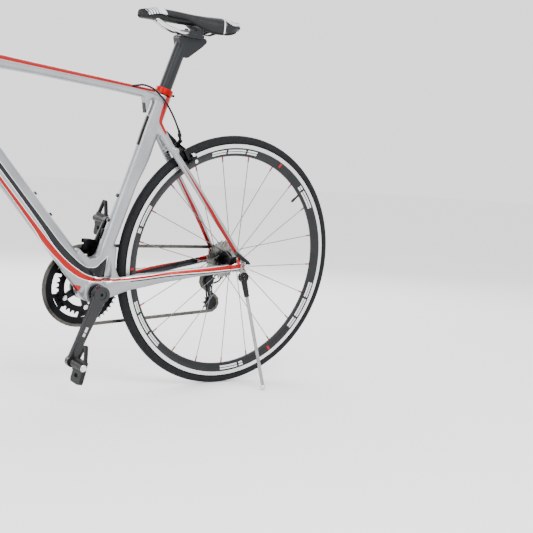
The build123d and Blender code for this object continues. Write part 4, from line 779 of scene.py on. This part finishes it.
# ---- frame ----
def frame_shape(shape):
    """The carbon frame as one moulding: tubes, stays, and the webs that fill their joints."""
    back = -SEAT_FORE * MM
    seat_tube = [(on_seat(0), SEAT_DIR, 24 * MM, 19 * MM), (on_seat(130), SEAT_DIR, 18.5 * MM, 18 * MM),
                 (on_seat(270), SEAT_DIR, 17.5 * MM, 18.5 * MM),
                 (on_seat(350) + back * 3.5, SEAT_DIR, 18.5 * MM, 22.5 * MM),
                 (on_seat(420) + back * 1.5, SEAT_DIR, 19.5 * MM, 22.5 * MM),
                 (on_seat(509.5) + back * 0.5, SEAT_DIR, 20.3 * MM, 21.8 * MM)]
    loft(shape, seat_tube)
    down = (on_head(437) - BB).normalized()
    loft(shape, [(BB - down * 2 * MM, down, 30 * MM, 29 * MM), (BB + down * 160 * MM, down, 25 * MM, 28 * MM),
                 (BB + down * 420 * MM, down, 24 * MM, 28 * MM), (on_head(437), down, 21 * MM, 30 * MM)])
    level = (on_head(494) - mm(250, 0, 747)).normalized()
    loft(shape, [(mm(262, 0, 748), level, 15 * MM, 13.4 * MM), (mm(420, 0, 763), level, 17.5 * MM, 13.4 * MM),
                 (mm(560, 0, 775), level, 18.5 * MM, 14 * MM), (on_head(494), level, 20 * MM, 18 * MM)])
    skin(shape, [ellipse(on_head(t), HEAD_DIR, 25 * MM, 25 * MM) for t in (374.3, 392, 449, 506, 523.7)])
    skin(shape, [ellipse(BB + Y_DIR * y * MM, Y_DIR_ALMOST, 30 * MM, 30 * MM)
                 for y in (-33.8, -12, 12, 33.8)])
    prism(shape, [(384, 290), (384, 372), (390, 352), (400, 344), (414, 343), (428, 352),
                  (446, 368), (452, 330), (420, 285)], -15, 15)
    prism(shape, [(345, 300), (352, 372), (372, 330), (385, 290)], -14, 14)
    prism(shape, [(298, 743), (286, 735), (296, 700), (306, 742), (330, 746), (316, 752)], -11, 11)
    for s in SIDES:
        loft(shape, [(mm(376, s * 20, 268), (-0.98, s * 0.1, 0.1), 11 * MM, 24 * MM),
                     (mm(300, s * 28, 287), (-0.98, s * 0.13, 0.17), 7.5 * MM, 19.5 * MM),
                     (mm(200, s * 41, 303), (-0.98, s * 0.15, 0.16), 7 * MM, 13.5 * MM),
                     (mm(110, s * 54, 317), (-0.98, s * 0.15, 0.13), 7 * MM, 11 * MM),
                     (mm(22, s * 66, 329), (-0.99, s * 0.1, 0.12), 5 * MM, 10 * MM)])
        loft(shape, [(mm(268, s * 8, 690), (-0.5, s * 0.15, -0.85), 9 * MM, 12 * MM),
                     (mm(221, s * 22, 621), (-0.6, s * 0.16, -0.76), 7.5 * MM, 9.5 * MM),
                     (mm(165, s * 33, 553), (-0.63, s * 0.13, -0.76), 7 * MM, 9.3 * MM),
                     (mm(84, s * 48, 453), (-0.64, s * 0.12, -0.75), 6.5 * MM, 9.5 * MM),
                     (mm(16, s * 66, 362), (-0.6, s * 0.1, -0.8), 4.5 * MM, 8 * MM)])
        loft(shape, [(mm(356, s * 10, 370), (-0.1, s * 0.12, -1), 9 * MM, 11 * MM),
                     (mm(354, s * 18, 325), (-0.1, s * 0.12, -1), 6 * MM, 6.5 * MM),
                     (mm(348, s * 23, 290), (-0.1, s * 0.12, -1), 8 * MM, 12 * MM)])
    bridge = REAR + Vector((0.6, 0, 0.8)) * 355 * MM
    skin(shape, [ellipse(bridge + Y_DIR * y * MM, Y_DIR_ALMOST, 8 * MM, 8 * MM) for y in (-34, -12, 12, 34)])


Y_DIR_ALMOST = Vector((0.0005, 1, 0))
VOXEL = 2.6 * MM


def carbon_frame():
    piece = mesh_piece("frame_moulding", None, frame_shape, "paint", 40)
    remesh = piece.modifiers.new("one_skin", "REMESH")
    remesh.mode = "VOXEL"
    remesh.voxel_size = VOXEL
    blur = piece.modifiers.new("moulded_fillets", "SMOOTH")
    blur.factor = 0.5
    blur.iterations = 7
    bake_modifiers(piece)
    for face in piece.data.polygons:
        face.use_smooth = True
    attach(piece, "frame")
    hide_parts("head_tube", "top_tube", "down_tube", "seat_tube", "chainstays", "seatstays")


# ---- camera, floor and light ----
def camera():
    """The photograph's view, found in the upright frame."""
    yaw, pitch, roll = 0.653694, 0.160290, 0.115834
    back = Vector((math.sin(yaw) * math.cos(pitch), math.cos(yaw) * math.cos(pitch), math.sin(pitch)))
    right = (-back).cross(Vector((0, 0, 1))).normalized()
    up = right.cross(-back)
    turned = (right * math.cos(roll) + up * math.sin(roll),
              up * math.cos(roll) - right * math.sin(roll), back)
    lens = bpy.data.cameras.new("camera")
    lens.sensor_width = 36
    lens.lens = 68.36
    lens.clip_end = 100
    eye = bpy.data.objects.new("camera", lens)
    bpy.context.scene.collection.objects.link(eye)
    pose = Matrix([[axis[row] for axis in turned] for row in range(3)]).to_4x4()
    pose.translation = (1.541624, 2.182685, 0.763201)
    eye.matrix_world = LEANED @ pose
    bpy.context.scene.camera = eye


def area_light(name, place, target, size, power, colour=(1, 1, 1)):
    data = bpy.data.lights.new(name, "AREA")
    data.shape = "RECTANGLE"
    data.size, data.size_y = size
    data.energy = power
    data.color = colour
    lamp = bpy.data.objects.new(name, data)
    bpy.context.scene.collection.objects.link(lamp)
    lamp.location = place
    lamp.rotation_mode = "QUATERNION"
    lamp.rotation_quaternion = (Vector(target) - Vector(place)).to_track_quat("-Z", "Y")


def studio():
    world = bpy.data.worlds.new("studio")
    bpy.context.scene.world = world
    world.use_nodes = True
    world.node_tree.nodes["Background"].inputs["Color"].default_value = (1, 1, 1, 1)
    world.node_tree.nodes["Background"].inputs["Strength"].default_value = 1.7
    mesh = bpy.data.meshes.new("floor")
    reach = 60.0
    mesh.from_pydata([(-reach, -reach, 0), (reach, -reach, 0), (reach, reach, 0), (-reach, reach, 0)], [],
                     [(0, 1, 2, 3)])
    floor = bpy.data.objects.new("floor", mesh)
    bpy.context.scene.collection.objects.link(floor)
    paper = Paint("floor_paper", roughness=0.9, specular=0.2)
    paper.colour(paper.mix(paper.noise(3, 3), (0.93, 0.93, 0.93), (0.96, 0.96, 0.96)))
    paper.bump(paper.noise(300, 3), 0.0002)
    mesh.materials.append(paper.material)
    middle = (0.45, 0, 0.5)
    area_light("key", (0.6, 3.0, 2.6), middle, (2.2, 1.4), 120)
    area_light("front", (3.2, 1.0, 1.6), middle, (1.6, 2.2), 45)
    area_light("back", (-1.6, -2.4, 2.2), middle, (2.4, 1.6), 60)
    area_light("right_side", (1.2, -3.0, 1.8), middle, (2.4, 1.6), 45)


camera()
studio()
carbon_frame()


# ---- saddle ----
def saddle_half_width(x):
    """Half width of the saddle at x millimetres: a narrow nose, a wide flare and a pointed tail."""
    flare = 1 / (1 + math.exp((x - 158) / 26))
    tail = max(0.03, 1 - min(1.0, max(0.0, (125 - x) / 79)) ** 1.8) ** 0.9
    nose = math.sqrt(max(0.08, 1 - max(0.0, (x - 318) / 20.5) ** 2))
    return (19 + 47 * flare) * tail * nose


def saddle_top(x):
    """Height of the saddle's ridge: a dipped nose, a long flat and a slightly raised tail."""
    nose = 11 * smooth_step((x - 285) / 55)
    dip = 3.2 * math.exp(-((x - 175) / 55) ** 2)
    return 956 - nose - dip - 9.0 * smooth_step((112 - x) / 60)


def saddle_skirt(x):
    """Depth of the saddle's sides, deepest at the flare."""
    return 16 + 32 * smooth_step((225 - x) / 90) * smooth_step((x - 52) / 62)


def smooth_step(t):
    t = min(1.0, max(0.0, t))
    return t * t * (3 - 2 * t)


def saddle_cover_shape(shape):
    """A crowned pad whose skirts roll under along the nose and hang at the flare."""
    rings = []
    for k in range(65):
        x = 48 + 290 * k / 64
        half, top = saddle_half_width(x), saddle_top(x)
        skirt = saddle_skirt(x)
        ring = []
        for j in range(40):
            a = math.tau * j / 40
            across, rise = math.sin(a), math.cos(a)
            y = half * math.copysign(abs(across) ** 0.72, across)
            crown = top - 3.4 * (y / half) ** 2
            if rise >= 0:
                channel = (1.7 * math.exp(-(y / 8) ** 2) * smooth_step((x - 90) / 30)
                           * smooth_step((300 - x) / 40))
                z = crown - (skirt * 0.55) * (1 - rise ** 0.55) - channel
            else:
                z = (crown - skirt * (0.55 + 0.45 * abs(rise) ** 0.6 * (abs(y) / half) ** 1.5)
                     - 3.0 * abs(rise))
            ring.append(mm(x, y * (1 if rise >= 0 else 1 - 0.10 * abs(rise)), z))
        rings.append(ring)
    skin(shape, rings)


def saddle_material():
    """Black cover with silver nose panels, a pale seam band and a grooved dark nose cap."""
    paint = Paint("saddle_cover_panels", roughness=0.55, specular=0.2)
    x = paint.along((1, 0, 0))
    y = paint.along((0, 1, 0))
    z = paint.along((0, 0, 1))
    width = paint.calc("ABSOLUTE", y)
    black = paint.mix(paint.noise(40, 4), (0.006, 0.006, 0.007), (0.015, 0.016, 0.018))
    lean = paint.calc("ADD", x, paint.times(paint.minus(z, 0.94), -0.6))
    panel = paint.both(paint.inside(lean, 0.268, 0.322), paint.above(width, 0.0075))
    slashes = paint.above(paint.sine(paint.times(lean, 760)), 0.45)
    fade = paint.above(lean, 0.284)
    panel = paint.both(panel, paint.minus(1.0, paint.both(slashes, fade)))
    swept = paint.minus(x, paint.times(width, 0.4))
    seam = paint.inside(swept, 0.1005, 0.1045)
    stitch_row = paint.inside(swept, 0.0965, 0.0975)
    stitch = paint.both(stitch_row, paint.above(paint.sine(paint.times(y, 2200)), 0.0))
    colour = paint.mix(panel, black, (0.62, 0.63, 0.65))
    colour = paint.mix(seam, colour, (0.62, 0.62, 0.62))
    paint.colour(paint.mix(stitch, colour, (0.16, 0.16, 0.17)))
    paint.rough(paint.noise(140, 3), 0.48, 0.66)
    paint.bump(paint.minus(1.0, paint.calc("MAXIMUM", seam, stitch)), 0.0004)
    paint.bump(paint.cells(900), 0.00010, 0.7)
    return paint.material


MAT["saddle"] = saddle_material()


def saddle():
    cover = mesh_piece("saddle_pad", None, saddle_cover_shape, "saddle", 50)
    rounder = cover.modifiers.new("crowned", "SUBSURF")
    rounder.levels = rounder.render_levels = 1
    bake_modifiers(cover)
    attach(cover, "seat")
    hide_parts("saddle_cover")

    def tail_loop(shape):
        """The pale open loop that runs from each side of the flare round the tail."""
        half = [(124, 57, 949), (108, 55, 943), (92, 50, 940), (74, 38, 942), (57, 21, 947)]
        points = half + [(46, 0, 950)] + [(x, -y, z) for x, y, z in reversed(half)]
        path = smooth_path([mm(*p) for p in points], 8)
        sweep_round(shape, path, lambda t, a: (3.2 + 0.8 * math.sin(a)) * MM, 14)

    mesh_piece("saddle_tail_loop", "seat", tail_loop, "leather_silver", 60)

    def skirt_edge(shape):
        """Piping along the lower edge of each side."""
        for s in SIDES:
            path = []
            for k in range(49):
                x = 84 + 236 * k / 48
                half = saddle_half_width(x)
                path.append(mm(x, s * half * 0.965, saddle_top(x) - 3.4 - saddle_skirt(x) * 0.78))
            sweep_round(shape, path, 1.3 * MM, 10)

    mesh_piece("saddle_piping", "seat", skirt_edge, "rubber", 60)

    def nose_ribs(shape):
        """Short moulded ribs round the nose's black cap."""
        for x in (322, 326.5, 331):
            half, top = saddle_half_width(x) * 1.01, saddle_top(x)
            path = [mm(x, half * math.sin(a), top - 8.5 + 8.6 * math.cos(a)) for a in
                    [math.radians(d) for d in range(-105, 106, 7)]]
            sweep_round(shape, path, 0.9 * MM, 8)

    mesh_piece("saddle_nose_ribs", "seat", nose_ribs, "rubber", 60)

    def bumper(shape):
        """Dark moulded bumper under the tail."""
        loft(shape, [(mm(112, 0, 925), (-1, 0, 0.1), 30 * MM, 9 * MM),
                     (mm(84, 0, 928), (-1, 0, 0.2), 31 * MM, 9 * MM),
                     (mm(60, 0, 936), (-1, 0, 0.5), 16 * MM, 6 * MM)])

    mesh_piece("saddle_tail_bumper", "seat", bumper, "rubber", 60)


# ---- handlebar tape ----
TAPE_WIDTH = 24 * MM


def bar_points(side):
    points = [(0, 78, 0), (0, 200, 0), (86, 206, -4), (90, 210, -132), (-42, 212, -128)]
    return rounded_path([BAR + mm(x, side * y, z) for x, y, z in points], (38 * MM, 42 * MM, 56 * MM), 2 * MM)


def wrap_radius(travelled, angle):
    """Each turn of tape overlaps the last, so the surface steps along a helix."""
    turn = (travelled / TAPE_WIDTH + angle / math.tau) % 1.0
    return (13.3 + 1.25 * turn ** 0.6) * MM


def handlebar_tape():
    def wraps(shape):
        for s in SIDES:
            sweep_round(shape, bar_points(s), wrap_radius, 28)

    tape = mesh_piece("tape_wraps", "steering", wraps, "tape", 35)
    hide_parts("bar_tape")

    def ends(shape):
        for s in SIDES:
            path = bar_points(s)
            out = (path[-1] - path[-2]).normalized()
            end = path[-1]
            disc(shape, end, out,
                 ((-1, 12.2), (0.2, 14.2), (2.4, 14.3), (3.6, 13.0), (4.1, 9.0), (4.3, 3.0)), 28)

    mesh_piece("bar_end_plugs", "steering", ends, "plastic", 40)

    def bands(shape):
        for s in SIDES:
            start = bar_points(s)
            sweep_round(shape, start[:7], 15.0 * MM, 28)

    mesh_piece("tape_finishing_bands", "steering", bands, "rubber", 40)


# ---- cables ----
HOUSING_R = 2.4 * MM
BAR_MM = BAR / MM
REAR_BRAKE_RUN = ((342, 12, 764), (318, 22, 771), (290, 26, 763),
                  (256, 27, 737), (226, 24, 699), (206, 20, 668))
GEAR_RUN = ((66, -73, 318), (28, -86, 322), (-22, -92, 318),
            (-50, -90, 288), (-38, -84, 262), (-20, -80, 258))
FRONT_BRAKE_RUN = ((-19, 60, -10), (4, 46, -30), (6, 30, -75), (-4, 26, -118))
TOP_TUBE_RUN = ((-19, -62, -10), (8, -58, -34), (-10, -46, -70), (-60, -34, -100), (-106, -26, -111))
DOWN_TUBE_RUN = ((-19, 72, -10), (10, 66, -40), (-4, 48, -90), (-50, 36, -140), (-84, 30, -167))


def held_cable(name, body, points):
    """Cable housing held at both ends."""
    points = [mm(*p) for p in points]
    radii = []
    for a, b, c in zip(points, points[1:], points[2:]):
        u, v = b - a, c - b
        radii.append(0.45 * min(u.length, v.length) / math.tan(u.angle(v) / 2))
    path = rounded_path(points, radii, 4 * MM)
    cable = mesh_piece(name, body, lambda shape: sweep_round(shape, path, HOUSING_R, 12), "housing", 60)
    return cable, path


def cables():
    rear, rear_path = held_cable("rear_brake_housing", "frame", REAR_BRAKE_RUN)
    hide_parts("cables")
    _, gear_path = held_cable("gear_housing", "frame", GEAR_RUN)
    held_cable("front_brake_housing", "steering",
               [tuple(BAR_MM + Vector(p)) for p in FRONT_BRAKE_RUN])
    for name, run in (("rear_brake_front_run", TOP_TUBE_RUN), ("gear_front_run", DOWN_TUBE_RUN)):
        cable, path = held_cable(name, None, [tuple(BAR_MM + Vector(p)) for p in run])
        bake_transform(cable)

    def ferrules(shape):
        for path in (rear_path, gear_path):
            for end, near in ((path[0], path[2]), (path[-1], path[-3])):
                inward = (near - end).normalized()
                disc(shape, end, inward,
                     ((-0.6, 2.2), (0, 3.0), (1.6, 3.0), (2, 2.75), (8.5, 2.75), (9, 2.5)), 20)

    mesh_piece("cable_ferrules", "frame", ferrules, "graphite", 35)


# ---- wheels ----
def tyre_seams(name, body, centre):
    """The two fine moulding lines where the tread meets the sidewalls."""
    def lines(shape):
        for s in SIDES:
            rings = []
            for k in range(181):
                a = math.tau * k / 180
                out = Vector((math.cos(a), 0, math.sin(a)))
                hub = centre + out * (WHEEL_R - TYRE_R)
                line = hub + (out * 0.42 + Y_DIR * s * 0.9075) * (TYRE_R - 0.02 * MM)
                rings.append([line + (out * math.cos(b) + Y_DIR * math.sin(b)) * 0.34 * MM
                              for b in [math.tau * j / 6 for j in range(6)]])
            loops = [[shape.verts.new(p) for p in ring] for ring in rings[:-1]]
            for m, loop in enumerate(loops):
                after = loops[(m + 1) % len(loops)]
                for j in range(6):
                    shape.faces.new((loop[j], loop[(j + 1) % 6], after[(j + 1) % 6], after[j]))

    mesh_piece(name, body, lines, "rubber", 60)


def valve_cap(name, body, centre, degrees):
    """A small cap screwed on the valve; the angle is from the top towards the rear."""
    a = math.radians(degrees)
    inward = Vector((math.sin(a), 0, -math.cos(a)))
    start = centre - inward * (RIM_NOSE_R - 15 * MM)

    def cap(shape):
        disc(shape, start, inward,
             ((0, 3.2), (0.4, 3.7), (3.8, 3.7), (4.2, 3.3), (5, 3.7), (11, 3.5), (13, 2.2)), 24)

    mesh_piece(name, body, cap, "plastic", 35)


def wheel_details():
    tyre_seams("rear_tyre_moulding_lines", "rear_wheel", REAR)
    tyre_seams("front_tyre_moulding_lines", "front_wheel", FRONT)
    valve_cap("rear_valve_cap", "rear_wheel", REAR, 48.86)
    valve_cap("front_valve_cap", "front_wheel", FRONT, 190)


# ---- brakes and pedals ----
def brake_details():
    """Barrel adjuster, lug and bright bolts of the rear brake."""
    top, low = mm(205, 20, 666), mm(194, 12, 643)
    down = (low - top).normalized()

    def adjuster(shape):
        disc(shape, top, down,
             ((-2, 2.9), (0, 3.6), (7, 3.6), (7.4, 5.0), (14, 5.0), (14.4, 3.4), (26, 3.4)))
        loft(shape, [(low, (-0.3, -0.5, -0.8), 5.5 * MM, 5.5 * MM),
                     (mm(197, 3, 634), (0, -0.4, -0.9), 6 * MM, 6 * MM)])

    mesh_piece("rear_brake_adjuster", "rear_brake_arm_left", adjuster, "black_gloss", 35)

    def bolts(shape):
        for x, z in ((164, 612), (155, 596)):
            disc(shape, mm(x, 33, z), Y_DIR_ALMOST.normalized(),
                 ((-6, 3.0), (0, 3.0), (0.2, 4.6), (3.4, 4.6), (4.2, 3.6)))

    mesh_piece("rear_brake_bolts", "rear_brake_arm_left", bolts, "polished", 35)


def pedal_details():
    """Bright cap on each spindle's outer end, and a steel wear plate on each claw."""
    for side, word, tilt in ((1, "left", 102.0), (-1, "right", 96.5)):
        a = math.radians(-67 if side > 0 else 113)
        end = BB + Vector((math.cos(a), 0, math.sin(a))) * 172.5 * MM
        t = math.radians(tilt)
        fore, up = Vector((math.cos(t), 0, math.sin(t))), Vector((-math.sin(t), 0, math.cos(t)))

        def cap(shape):
            axis = Y_DIR_ALMOST.normalized() * side
            disc(shape, end + Y_DIR * side * 131.6 * MM, axis,
                 ((0, 8.2), (0.8, 8.2), (1.6, 7.2), (1.6, 4.0), (0.9, 3.6)))

        mesh_piece("pedal_" + word + "_spindle_cap", "pedal_" + word, cap, "polished", 35)

        def plate(shape):
            middle = end + Y_DIR * side * 107 * MM + fore * -36 * MM + up * 11.2 * MM
            corners = [(fore * x + Y_DIR * y) * MM for x, y in ((-5, -13), (5, -15), (5, 15), (-5, 13))]
            skin(shape, [[middle + c + up * h * MM for c in corners] for h in (-0.4, 1.2)])

        mesh_piece("pedal_" + word + "_plate", "pedal_" + word, plate, "polished", 35)


# ---- kickstand ----
def kickstand_details():
    """Raised ring of the moulded housing, its set screw, and the tube's end collar."""
    leg = (STAND_FOOT - STAND_PIVOT).normalized()
    axis = Vector((0, -leg.z, leg.y)).normalized()

    def ring(shape):
        for s in SIDES:
            face = STAND_PIVOT + axis * s * 7 * MM
            skin(shape, [ellipse(face + axis * s * t * MM, axis, r * MM, r * MM, 40)
                         for t, r in ((-0.5, 12.2), (0.6, 12.0), (0.9, 11.4),
                                      (0.9, 9.4), (0.5, 9.0), (-0.4, 8.9))])

    mesh_piece("stand_housing_ring", "kickstand_leg", ring, "gloss_plastic", 35)

    def bolt(shape):
        for s in SIDES:
            disc(shape, STAND_PIVOT + axis * s * 7 * MM, axis * s,
                 ((-0.5, 5.4), (1.2, 5.4), (2.0, 4.6), (2.0, 2.6), (1.2, 2.4)))

    mesh_piece("stand_pivot_bolt", "kickstand_leg", bolt, "polished", 35)
    turned = axis.cross(leg).normalized()

    def screw(shape):
        base = STAND_PIVOT + leg * 40 * MM
        disc(shape, base, turned, ((6.2, 2.4), (7.9, 2.4), (8.1, 2.1), (8.1, 1.3), (7.4, 1.2)), 24)

    mesh_piece("stand_set_screw", "kickstand_leg", screw, "polished", 35)

    def collar(shape):
        base = STAND_PIVOT + leg * 49.6 * MM
        disc(shape, base, leg, ((0, 6.9), (0.5, 7.2), (2.2, 7.2), (3.0, 6.3), (3.6, 4.7)), 32)

    mesh_piece("stand_housing_lip", "kickstand_leg", collar, "gloss_plastic", 35)


saddle()
handlebar_tape()
cables()
wheel_details()
brake_details()
pedal_details()
kickstand_details()
